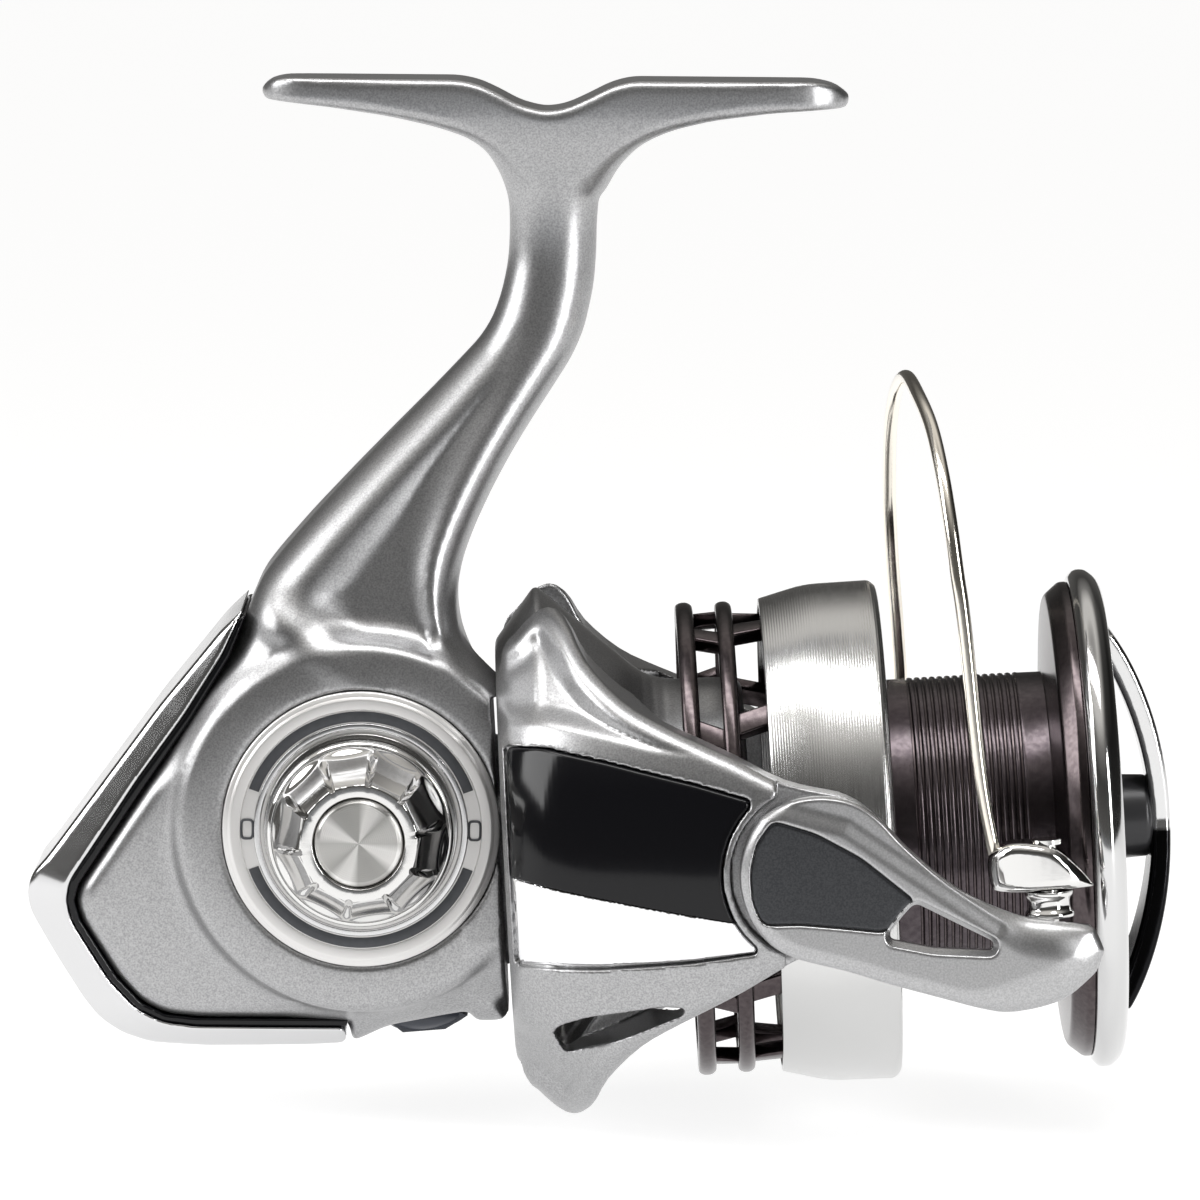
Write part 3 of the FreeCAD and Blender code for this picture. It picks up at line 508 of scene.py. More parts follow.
USE = {"rear_cover_screws": "steel", "plate_seal": "seal", "drive_bearing_near": "steel",
       "drive_bearing_far": "steel", "pinion_bearing_rear": "steel", "pinion_bearing_front": "steel",
       "bearing_retainer": "plate", "clutch_housing": "inner", "clutch_screws": "steel",
       "clutch_rollers": "steel", "slider_guide_rod": "steel", "osc_gear_axle": "steel",
       "drive_gear": "plate", "drive_shaft": "steel", "osc_pinion": "brass", "osc_gear": "brass",
       "handle_shank": "steel", "handle_nut": "mirror", "knob_pin": "steel", "knob_cap": "plate",
       "knob_bearings": "steel", "pinion": "brass", "clutch_sleeve": "steel", "rotor_nut": "brass",
       "rotor_nut_retainer": "inner", "bail_spring": "steel", "bail_trip_lever": "inner",
       "pivot_screw_far": "steel", "roller_screw": "mirror", "main_shaft": "steel", "slider": "plate",
       "slider_screw": "steel", "spool_bushing": "inner", "click_ratchet": "inner", "drag_washers": "felt",
       "washer_retainer": "steel", "drag_nut": "brass", "drag_spring": "steel", "handle_collar": "plate",
       "handle_arm": "bail", "knob_grip": "rubber", "anti_reverse_lever": "lever", "pivot_screw_near": "bail"}
for node, key in USE.items():
    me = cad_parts[node].data
    me.materials.clear()
    me.materials.append(M[key])


# ------------------------------------------------------------ body
REAR = [(-32.4, -56.9), (-34.2, -61.6), (-38.1, -68.2), (-43.1, -75.4), (-50.2, -86.2), (-50.7, -88.0),
        (-50.1, -90.1), (-46.2, -96.5), (-43.6, -99.4), (-41.1, -100.7), (-37.5, -101.1), (-21.4, -101.1)]
COVER_IN = [(-33.2, -57.4), (-35.0, -61.4), (-39.0, -67.8), (-44.0, -74.8), (-51.2, -85.8),
            (-51.6, -88.0), (-51.0, -90.3), (-47.0, -96.9), (-44.2, -100.0), (-41.4, -101.5),
            (-37.6, -102.0), (-21.6, -102.0)]
COVER_OUT = [(-32.6, -56.3), (-35.3, -58.9), (-38.0, -62.3), (-41.8, -67.0), (-45.5, -72.1),
             (-50.3, -78.7), (-53.8, -83.5), (-55.3, -85.2), (-55.9, -87.1), (-55.6, -89.2),
             (-52.7, -94.4), (-49.8, -99.3), (-48.2, -101.4), (-45.8, -103.1), (-42.7, -104.1),
             (-36.5, -104.4), (-26.1, -104.2), (-21.6, -103.9)]
FRONT = [(6.6, -7.6), (5.4, -10.2), (4.85, -12.8), (4.65, -15.6), (4.65, -18.4), (4.4, -22.2), (3.4, -26.9),
         (2.1, -29.9), (0.2, -32.9), (-2.0, -36.3), (-4.2, -39.9), (-6.3, -43.8), (-8.2, -47.9),
         (-9.5, -51.5), (-10.0, -54.8), (-10.0, -57.3), (-9.5, -60.1), (-8.4, -62.9), (-7.0, -65.1),
         (-5.9, -66.3)]
BACK = [(-31.0, -53.5), (-29.1, -51.0), (-25.6, -46.9), (-20.9, -41.8), (-16.8, -37.5), (-13.0, -33.6),
        (-10.0, -30.4), (-7.8, -28.0), (-6.5, -25.9), (-5.6, -23.4), (-4.85, -20.0), (-4.65, -16.6),
        (-4.75, -13.0), (-5.2, -10.6), (-6.4, -8.0)]
FACET = [(-4.9, -23.3), (-6.2, -27.3), (-8.3, -31.2), (-11.8, -35.3), (-16.6, -40.3), (-20.7, -45.2),
         (-24.0, -49.3), (-26.4, -52.6), (-27.0, -55.0), (-25.6, -57.6), (-22.0, -60.0), (-17.8, -62.4),
         (-13.6, -65.0), (-10.2, -67.0), (-8.6, -65.4), (-10.5, -61.6), (-11.9, -57.7), (-12.5, -54.0),
         (-12.2, -50.6), (-11.1, -47.1), (-9.8, -43.5), (-7.7, -39.3), (-5.0, -34.7), (-2.5, -30.1),
         (-0.9, -26.0)]
WIDTH = spline([(-108, 6.4), (-105, 7.4), (-101, 9.0), (-97, 10.3), (-93, 11.2), (-89, 11.85), (-85, 12.3),
                (-80, 12.65), (-74, 12.85), (-67, 12.9), (-60, 12.7), (-54, 11.7), (-47, 10.2), (-40, 8.5),
                (-33, 6.7), (-27, 5.35), (-22, 4.6), (-18, 4.4), (-14, 4.75), (-10, 5.6), (-6, 6.6),
                (-3, 7.2), (0, 7.35), (3, 7.35)], 8,
               closed=False)
RIM = spline([(-6.5, 22.0), (-4.6, 24.8), (-3.0, 27.1), (0, 29.6), (5, 31.7), (13, 33.6), (20, 34.0),
              (30, 34.0), (40, 34.0)], 8, closed=False)


def width(z):
    return np.interp(z, WIDTH[:, 0], WIDTH[:, 1]).astype(F)


FOOT_TOP = [(-31.6, -1.5), (-30.6, -0.4), (-29.0, 0), (-20, 0), (-10.2, 0), (-8.0, -0.45), (-5.8, -1.45),
            (-3.6, -2.65), (-0.9, -3.3), (1.3, -2.95), (3.5, -1.95), (6.1, -0.6), (8.3, 0), (18, 0),
            (28.0, 0), (30.2, -0.45), (31.8, -1.6)]
FOOT_FRONT = [(31.4, -2.8), (28.5, -3.05), (23.3, -3.4), (16.7, -4.3), (12.3, -5.4), (9.2, -6.9), (7.0, -9.2),
              (5.6, -11.9)]
FOOT_REAR = [(-5.7, -10.2), (-7.2, -7.7), (-9.2, -6.3), (-12.4, -5.2), (-17.6, -4.05), (-24.1, -3.1),
             (-28.5, -2.65), (-31.0, -2.4)]


def build_body():
    g = Grid((-57, -17.2, -105.6), (33.4, 15.4, 1.2), 0.33)
    x, y, z = g.x, g.y, g.z
    under = [(-5.0, -70), (-4.2, -98), (-4.15, -101.2), (-7.6, -101.3), (-8.5, -100.2), (-12.6, -100.9),
             (-16.9, -101.7), (-19.4, -103.1), (-21.0, -103.8), (-21.3, -101.1)]
    outline = FOOT_TOP + FOOT_FRONT + FRONT[2:] + under + list(reversed(REAR)) + BACK[:-2] + FOOT_REAR
    side = poly(x, z, fillet(outline, 1.6, 3))
    depth = -side
    w = width(z)
    x0 = np.interp(z, [p[1] for p in BACK], [p[0] for p in BACK]).astype(F)
    x1 = np.interp(z, [p[1] for p in reversed(FRONT)], [p[0] for p in reversed(FRONT)]).astype(F)
    t = smooth((x - x0) / (x1 - x0))
    low = smooth((-z - 20) / 22.0)
    rho = 4.4 + low * (0.6 * (1 - t) - 1.0 * t)
    rho = np.where(z < -58, rho + (2.2 - rho) * smooth((-z - 58) / 8.0), rho)
    rho = (rho + (1.3 - rho) * smooth((z + 13) / 8.0)).astype(F)
    q = np.minimum(w * 0.98, 4.3 + 1.6 * low)
    q = np.where(z < -58, q + (2.6 - q) * smooth((-z - 58) / 8.0), q)
    q = (q + (1.3 - q) * smooth((z + 13) / 8.0)).astype(F)
    facet = poly(x, z, spline(FACET, 3))
    reach = 2.2 + 6.5 * (1 - t) * smooth((z + 60) / 8.0)
    dish = 1.25 * smooth(-facet / reach) * smooth((-z - 22) / 14.0)
    along, across = x + 24.5 + 0.62 * (z + 61.0), z + 61.5 + 0.62 * (x + 24)
    belly = 1.5 * np.exp(-(along ** 2 / 60.0 + across ** 2 / 9.0))
    f = oval(depth, rho, np.abs(y) - (w - dish + belly), q)
    # raised round boss about the plate, and the smaller one on the handle side
    r = np.hypot(x - GEAR[0], z - GEAR[1])
    face = 15.5 - 0.035 * np.maximum(r - 15.0, 0) ** 2
    near = np.maximum(both(r - 19.6 - 0.18 * (y + 15.5), -y - face, 1.0), y + 6)
    far = np.maximum(both(r - 11.8, y - 14.0, 0.9), -y)
    s = x * CT + (z - LINE_Z) * ST
    zl = -x * ST + (z - LINE_Z) * CT
    rl = np.sqrt(y ** 2 + zl ** 2)
    flange = both(rl - 17.5, np.abs(s + 7.1) - 1.9, 0.4)
    flange = np.maximum(flange, np.abs(y) - 15.45)
    f = smin(f, near, 2.4)
    f = smin(f, far, 1.6)
    f = smin(f, flange, 0.8)
    plan = [(-31.6, 0), (-30.9, -3.6), (-29.0, -5.6), (-25, -6.7), (-14, -7.25), (0, -7.25), (14, -7.25),
            (25, -6.7), (29.2, -5.6), (31.2, -3.6), (31.9, 0)]
    plan = poly(x, y, spline(plan + [(a, -b) for a, b in reversed(plan[1:-1])], 4))
    f = np.where(z > -11, both(f, plan, 0.6), f)
    neck = np.maximum(rl - 12.4, np.maximum(-s - 9, s - 0.6))
    f = np.maximum(f, -np.maximum(-5.2 - s, z + 65.5))
    f = np.minimum(f, neck)
    f = np.maximum(f, -poly(x, z, [(-60, -110), (-60, -50), (-32.6, -56.2)] + REAR))
    # hollow for the gear train, plate seat and bearing seats
    room = [(-33.6, -62.5), (-41.6, -75.6), (-48.2, -86.8), (-48.0, -89.4), (-44.4, -95.4),
            (-42.0, -96.0), (-38.0, -96.6), (-11.3, -96.4), (-11.5, -66.0), (-16.5, -61.5)]
    cut = np.maximum(poly(x, z, room), np.abs(y) - np.minimum(10.5, w - 2.2))
    cut = np.minimum(cut, np.maximum(r - 14.35, y + 10.5))
    cut = np.minimum(cut, np.maximum(r - 14.9, y + 15.2))
    cut = np.minimum(cut, np.maximum(r - 5.0, -y))
    cut = np.minimum(cut, np.maximum(r - 6.5, np.maximum(9 - y, y - 13.2)))
    cut = np.minimum(cut, np.maximum(r - 11.9, np.maximum(-11 - y, y - 1.0)))
    cut = np.minimum(cut, np.maximum(rl - 8.0, -s - 4.4))
    cut = np.minimum(cut, np.maximum(rl - 5.5, -s - 7.6))
    cut = np.minimum(cut, np.maximum(rl - 3.9, -s - 12.6))
    f = np.maximum(f, -cut)
    v, q4 = g.mesh(f)
    place("body_shell", v, q4, M["paint"], "frame", ("body_frame",), slot="frame_paint")


def build_cover():
    g = Grid((-57.4, -13.6, -105.6), (-19.6, 13.6, -55), 0.22)
    ring = poly(g.x, g.z, fillet(COVER_OUT + list(reversed(COVER_IN)), 1.0, 3))
    w = width(g.z) - 0.35
    inside = np.maximum(poly(g.x, g.z, fillet(COVER_IN + [(-15, -102.0), (-15, -57.4)], 1.5, 3)), 0)
    f = both(ring, np.abs(g.y) - w + 0.55 * inside, 0.5)
    v, q = g.mesh(f)
    place("cover_shell", v, q, M["chrome"], "frame", ("rear_cover",), slot="chrome_cover")
    ring = poly(g.x, g.z, fillet(COVER_IN + list(reversed(REAR)), 0.1, 2))
    f = both(ring, np.abs(g.y) - w + 0.55, 0.3)
    v, q = g.mesh(f)
    place("gasket_line", v, q, M["black"], "frame", ("rear_cover_gasket",), slot="black_seal")


def build_plate():
    at = GEAR
    plate = fillet([(-16.0, 10.2, 0.1), (-16.0, 14.2, 0.1), (-15.75, 14.75, 0.25), (-15.4, 14.78, 0.05),
                    (-15.4, 14.2, 0), (-11.6, 14.2, 0), (-11.6, 6.05, 0), (-14.5, 6.05, 0), (-14.5, 3.6, 0),
                    (-16.0, 3.6, 0)], 0.1)
    lathe("plate_disc", plate, M["plate"], "frame", "y", at, replaces=("engine_plate",), slot="plate_metal")
    # silver ring lands with the two dark arcs and their small marks between
    land = fillet([(-15.9, 10.6), (-16.18, 10.8), (-16.18, 11.35), (-15.9, 11.5)], 0.08)
    lathe("plate_land_in", land, M["chrome"], "frame", "y", at, slot="plate_metal")
    land = fillet([(-15.9, 12.75), (-16.2, 12.85), (-16.2, 13.9), (-15.9, 14.35)], 0.12)
    lathe("plate_land_out", land, M["plate"], "frame", "y", at, slot="plate_metal")
    for k, (a0, a1) in enumerate(((20, 160), (200, 340))):
        verts, faces = [], []
        prof = fillet([(-15.95, 11.55), (-16.12, 11.6), (-16.12, 12.65), (-15.95, 12.7)], 0.05, 2)
        n = 90
        for i in range(n + 1):
            a = math.radians(a0 + (a1 - a0) * i / n)
            verts += [(at[0] + r * math.cos(a), y, at[1] + r * math.sin(a)) for y, r in prof]
        m = len(prof)
        for i in range(n):
            for j in range(m):
                b, c = i * m + j, i * m + (j + 1) % m
                faces.append((b, c, c + m, b + m))
        faces += [list(range(m))[::-1], list(range(n * m, n * m + m))]
        place("plate_arc_%d" % k, verts, faces, M["dark"], "frame", sharp=40, slot="plate_metal")
    for k, a in enumerate((0, 180)):
        c = Vector((at[0] + 12.1 * math.cos(math.radians(a)), -16.1,
                    at[1] + 12.1 * math.sin(math.radians(a))))
        pts = [(c.x + 0.62 * math.copysign(abs(math.cos(t)) ** 0.5, math.cos(t)), c.y,
                c.z + 1.0 * math.copysign(abs(math.sin(t)) ** 0.5, math.sin(t)))
               for t in [2 * math.pi * i / 24 for i in range(25)]]
        tube("plate_mark_%d" % k, pts, 0.14, M["dark"], "frame", n=8, per=2, slot="plate_metal")
    collar = fillet([(-15.9, 9.0), (-15.9, 10.5, 0.2), (-17.2, 10.3, 0.3), (-18.4, 10.05, 0.3),
                     (-19.6, 9.9, 0.3), (-19.95, 9.5, 0.2), (-19.4, 9.0)], 0.15)
    lathe("cap_collar", collar, M["mirror"], "frame", "y", at, slot="cap_chrome")
    cap = fillet([(-26.35, 0, 0), (-26.35, 4.72, 0.1), (-27.0, 4.9, 0.12), (-27.0, 6.25, 0.25),
                  (-26.4, 6.75, 0.3), (-24.4, 7.7, 0.8), (-22.0, 8.7, 0.8), (-20.6, 9.35, 0.3),
                  (-20.0, 9.4, 0.1), (-20.0, 3.4, 0), (-17.0, 3.4, 0), (-17.0, 0, 0)], 0.1, 5)

    def flutes(ang, a, r):
        # 0 at a corner, 0.5 at a flat's middle
        k = np.abs(((ang / (2 * np.pi) * 10 + 0.25) % 1.0) - 0.5)
        share = np.clip((-a - 20.2) / 0.8, 0, 1) * np.clip((27.02 + a) / 0.3, 0, 1) * (r > 5.4)
        flat = math.cos(math.pi / 10) / np.cos((0.5 - k) * 2 * math.pi / 10)
        notch = np.clip(1 - k / 0.10, 0, 1) ** 0.8 * np.clip((-a - 21.5) / 4.0, 0, 1)
        return r * (1 + 1.3 * (flat - 1) * share) - 1.15 * notch * share
    lathe("cap_fluted", cap, M["mirror"], "frame", "y", at, n=600, sharp=24, wave=flutes,
          replaces=("handle_cap",), slot="cap_chrome")
    ins = fillet([(-27.12, 0, 0), (-27.12, 4.2, 0.2), (-26.8, 4.62, 0.2), (-26.4, 4.66, 0), (-26.4, 0, 0)],
                 0.1)
    lathe("cap_spun", ins, M["spun"], "frame", "y", at, replaces=("cap_insert",), slot="insert_alu")


# ------------------------------------------------------------ rotor
def rotor_radius(s):
    """Outer radius of the arms along the line."""
    return np.interp(s, RIM[:, 0], RIM[:, 1]).astype(F)


ARM_UP = [(-4.5, 22.6), (-2.6, 25.2), (0.3, 28.2), (3.2, 26.2), (5.2, 22.3), (8.8, 18.4), (13.2, 15.7),
          (19.8, 12.4), (25.3, 9.4)]


def arc(radius, first, last, step):
    """Points on a circle about the bail pivot; angles in degrees."""
    turns = [math.radians(a) for a in range(first, last, step)]
    return [(PIVOT_S + radius * math.cos(a), radius * math.sin(a)) for a in turns]


def arm_outline():
    return ARM_UP + arc(8.3, 76, -77, -8) + [(s, -z) for s, z in reversed(ARM_UP)]


PANEL = ([(-3.9, 13.9), (0.3, 14.0), (6.6, 12.6), (15.8, 10.1), (21.4, 8.2)] + arc(10.0, 132, 230, 12)
         + [(21.4, -8.1), (14.4, -8.8), (4.9, -9.3), (-3.9, -9.2)])
SCOOP = [(-5.5, 16.2), (-5.5, 21.6), (-2.6, 24.0), (0.2, 26.0), (2.6, 24.2), (4.6, 20.6), (8.0, 17.1),
         (12.4, 14.6), (16.6, 12.8), (12.0, 13.2), (6.6, 14.6), (0.4, 15.9)]
VENT = [(-0.4, -16.7), (0.8, -19.3), (7.0, -17.2), (13.4, -14.6), (13.7, -13.8), (11.0, -13.6),
        (3.3, -14.7), (0.4, -15.7)]


def build_rotor():
    g = Grid((-5.6, -36, -30.6), (37.6, 36, 30.6), 0.3)
    s, y, z = g.x, g.y, g.z
    cup = g.turn(fillet([(-4.6, 22.6, 0.5), (0, 28.4, 0.8), (11.9, 17.5, 2.5), (21.0, 17.3, 0.6),
                         (21.8, 16.4, 0.4), (21.8, 13.0, 0.4), (15.0, 13.0, 0), (15.0, 3.0, 0),
                         (11.8, 3.0, 0), (11.8, 15.2, 0), (10.2, 16.0, 0), (0.6, 25.9, 0.5),
                         (-0.6, 25.8, 0.5), (-4.6, 20.9, 0.2)], 0.3))
    r = np.sqrt(y ** 2 + z ** 2)
    big = rotor_radius(s[:, 0, 0])[:, None, None]
    out = poly(s, z, spline(arm_outline(), 3))
    scoop = poly(s, z, spline(SCOOP, 3))
    scoop = np.minimum(scoop, scoop[:, :, ::-1])
    arm = oval(-out, np.full_like(out, 1.6), r - big + 1.5 * smooth(-scoop / 2.6), 1.2)
    inner = g.turn([(-6, 0), (-6, 20.9), (-4.6, 20.9), (-0.6, 25.8), (0.6, 25.9), (8.0, 18.8), (10.0, 21.0),
                    (13.0, 28.3), (40, 28.3), (40, 0)])
    arm = np.maximum(arm, -inner)
    arm = np.maximum(arm, 12 - np.abs(y))
    piv = np.hypot(s - PIVOT_S, z)
    more = np.where(y > 0, 0.5, 0.0)                     # room for the far lever as it swings
    gone = np.minimum(piv - 9.2 - more, np.maximum(24.2 - more - s, 0) - 0.01)
    arm = np.maximum(arm, -np.maximum(gone, 30.8 - np.abs(y)))
    vent = poly(s, z, fillet(VENT, 0.7, 3))
    vent = np.maximum(vent, 15 - np.abs(y))
    arm = np.maximum(arm, -vent)
    panel = poly(s, z, fillet(PANEL, 0.8, 3))
    arm = np.maximum(arm, -np.maximum(panel - 0.05, big - 1.25 - r))
    f = smin(arm, cup, 1.0)
    f = np.maximum(f, -vent)
    f = np.maximum(f, -4.6 - s)
    v, q = g.mesh(f)
    place("rotor_shell", v, q, M["paint"], "rotor_unit", ("rotor",), line=True, slot="frame_paint")


def build_panels():
    g = Grid((-5.0, -35.2, -15.0), (21.6, -22.6, 14.8), 0.13)
    s, y, z = g.x, g.y, g.z
    r = np.sqrt(y ** 2 + z ** 2)
    big = rotor_radius(s[:, 0, 0])[:, None, None]
    out = poly(s, z, fillet(PANEL, 0.8, 3))
    piv = 9.75 - np.hypot(s - PIVOT_S, z)
    out = np.maximum(out, piv)
    # the panel's lower part turns under along a straight crease
    crease = (z - (0.5 - 0.2177 * (s + 4.2))) * 0.977
    top = big + 0.02 - 0.115 * np.maximum(-crease, 0)
    f = both(out + 0.1, r - top, 0.35)
    f = np.maximum(f, big - 3.4 - r)
    for part, mat, half in (("panel", M["black"], -crease), ("band", M["band"], crease)):
        v, q = g.mesh(np.maximum(f, half + 0.04))
        more = ("arm_panel_near",) if part == "panel" else ()
        place(part + "_near", v, q, mat, "rotor_unit", more, line=True, sharp=40, slot="panel_black")
        v = v * np.array((1, -1, 1))
        more = ("arm_panel_far",) if part == "panel" else ()
        place(part + "_far", v, q[:, ::-1], mat, "rotor_unit", more, line=True, sharp=40, slot="panel_black")


# ------------------------------------------------------------ bail
BAIL = [(23.0, 6.9), (25.7, 8.2), (29.1, 8.5), (32.3, 7.7), (34.8, 5.9), (37.1, 3.2), (40.2, 0.1),
        (43.2, -2.3), (46.3, -4.0), (49.7, -5.3), (52.9, -5.9), (56.0, -6.4), (57.1, -7.6), (57.7, -9.5),
        (57.1, -11.6), (55.0, -13.3), (52.7, -14.5), (49.8, -15.2), (47.1, -15.3), (44.8, -14.8),
        (40.5, -13.4), (35.3, -11.7), (30.6, -10.0), (26.9, -8.9), (24.8, -8.1), (22.8, -6.8), (21.3, -4.8),
        (20.3, -2.1), (20.1, 1.2), (21.0, 4.3), (22.1, 6.1)]
INLAY = [(23.7, 6.4), (28.1, 4.8), (32.7, 2.0), (38.1, -2.8), (36.7, -3.9), (34.9, -6.1), (30.3, -5.4),
         (26.0, -4.8), (22.1, -4.7), (21.1, -2.3), (21.0, 0.9), (21.8, 4.0)]
WINDOW = [(38.1, -3.2), (46.1, -7.7), (45.8, -8.6), (39.8, -8.0), (35.4, -6.9), (35.3, -6.2), (37.0, -4.2)]


def bail_fields(g):
    s, y, z = g.x, g.y, g.z
    out = poly(s, z, spline(BAIL, 4))
    inlay = poly(s, z, fillet(INLAY, 0.9, 3))
    return s, y, z, out, inlay


def build_bail():
    g = Grid((18.6, -38.0, -16.8), (59.2, -27.2, 9.8), 0.17)
    s, y, z, out, inlay = bail_fields(g)
    bulb = smooth((s - 42) / 8.0)
    rho = 1.7 + 2.6 * bulb
    q = 1.3 + 1.2 * bulb
    face = BAIL_FACE - 0.5 * smooth((24 - s) / 5.0) - 0.9 * smooth((s - 52) / 6.0)
    arm = oval(-out, rho, -y - face, q)
    arm = np.maximum(arm, both(out, y + 34.4, 0.5))
    # the boss over the pivot and the block that carries the roller
    boss = both(np.hypot(s - PIVOT_S, z) - 8.1, np.abs(y + 33.4) - 2.3, 0.3)
    tail = poly(s, z, [(46.8, -6.3), (46.8, -7.5), (50.4, -9.5), (55.5, -10.8), (57.3, -9.4), (56.5, -7.3),
                       (51.8, -6.6)])
    tail = both(tail, np.abs(y + 31.8) - 3.3, 0.6)
    f = smin(arm, boss, 0.4)
    f = smin(f, tail, 1.0)
    # recess for the inlay, and the flared window ahead of it
    rim = -y - (face - 0.75)
    f = np.maximum(f, -np.maximum(inlay, -rim))
    win = poly(s, z, fillet(WINDOW, 0.6, 3))
    flare = win - 0.45 * np.clip(-y - 35.4, 0, 2)
    f = np.maximum(f, -flare)
    # the face steps down softly above the inlay
    up = poly(s, z, [(23.7, 6.5), (30.7, 4.2), (36.9, -0.5), (46.2, -7.5), (60, -9.5), (60, 12), (20, 12)])
    f = np.maximum(f, -y - face + 0.55 * smooth(-up / 2.2))
    f = np.maximum(f, np.where(y > -36.0, 2.02 - np.hypot(s - PIVOT_S, z), -9))
    f = np.maximum(f, np.where(y > -36.2, np.where(y < -35.2, 3.6 - np.hypot(s - PIVOT_S, z), -9), -9))
    v, qd = g.mesh(f)
    place("bail_arm_shell", v, qd, M["bail"], "bail", ("bail_arm",), line=True, slot="bail_paint")
    g = Grid((19.6, -37.2, -8.0), (39.6, -34.6, 8.0), 0.14)
    s, y, z, out, inlay = bail_fields(g)
    face = BAIL_FACE - 0.5 * smooth((24 - s) / 5.0)
    f = both(inlay + 0.12, -y - (face - 0.45), 0.2)
    f = np.maximum(f, y + (face - 1.0))
    v, qd = g.mesh(f)
    place("bail_inlay", v, qd, M["graphite"], "bail", ("bail_cover",), line=True, slot="dark_inlay")


def build_bail_small():
    # far lever
    g = Grid((19, 30.4, -9), (42, 35.2, 10), 0.2)
    s, y, z = g.x, g.y, g.z
    disc = np.hypot(s - PIVOT_S, z) - 7.6
    lug = poly(s, z, spline([(31, 7.0), (36.4, 8.2), (39.2, 7.5), (40.6, 4.6), (39.2, 1.7), (33.9, -3.9),
                             (28, -2.5)], 4))
    f = both(smin(disc, lug, 0.8), np.abs(y - 32.65) - 1.52, 0.6)
    f = np.maximum(f, -np.maximum(np.hypot(s - PIVOT_S, z) - 3.6, 33.6 - y))
    v, q = g.mesh(f)
    place("bail_lever_shell", v, q, M["bail"], "bail", ("bail_lever_far",), line=True, slot="bail_paint")
    # wire cone: a polished horn that guides line from the wire down to the roller
    g = Grid((44.6, -34.6, -4.6), (58.4, -26.6, 2.9), 0.12)
    s, y, z = g.x, g.y, g.z
    prof = poly(s, z, spline([(46.2, 0.6), (48.2, 1.9), (50.8, 1.9), (53.2, 1.2), (55.4, -0.8),
                              (56.8, -2.6), (57.0, -3.1), (52.8, -3.1), (47.2, -3.1), (46.2, -2.4),
                              (45.9, -1.0)], 4))
    plan = poly(s, y, spline([(45.5, -30.0), (47.0, -28.2), (50.5, -27.7), (54.5, -28.0), (57.2, -29.4),
                              (57.4, -31.2), (54.5, -32.8), (50.5, -33.2), (47.0, -32.0)], 4))
    f = both(prof, plan, 1.0)
    f = np.maximum(f, 1.02 - np.hypot(s - ROLLER[0], y - ROLLER[1]))
    v, q = g.mesh(f)
    place("cone_shell", v, q, M["mirror"], "bail", ("wire_cone",), line=True, slot="polished_steel")
    pts = [(48.6, -29.6, -0.9), (47.2, -29.3, -0.4), (46.5, -29.4, 3.0), (45.7, -29.4, 10.2),
           (44.9, -29.3, 24.6), (44.4, -28.9, 30.4), (44.0, -27.6, 35.5), (43.5, -24.5, 40.6),
           (42.9, -18.5, 44.8), (42.0, -11.0, 47.6), (41.2, 0.0, 48.9), (40.4, 10.0, 46.6),
           (39.9, 17.5, 42.0), (39.7, 24.0, 35.6), (39.7, 27.4, 30.8), (39.8, 28.8, 25.0),
           (40.0, 29.3, 18.0), (40.0, 29.8, 11.5), (38.8, 31.4, 6.4), (38.2, 32.2, 4.6)]
    tube("wire_loop", pts, lambda t: 0.75 + 0.55 * max(0, 1 - t / 0.05), M["wire"], "bail", n=24, per=12,
         replaces=("bail_wire",), line=True, slot="polished_steel")
    prof = fillet([(-6.1, 1.06, 0), (-6.1, 2.6, 0.15), (-5.6, 2.62, 0.2), (-5.1, 2.2, 0.4),
                   (-4.2, 2.2, 0.4), (-3.7, 2.6, 0.2), (-3.3, 2.6, 0.1), (-3.3, 1.06, 0)], 0.1)
    lathe("roller_shell", prof, M["mirror"], "roller", "z", ROLLER, n=96, replaces=("line_roller",),
          line=True, slot="polished_steel")


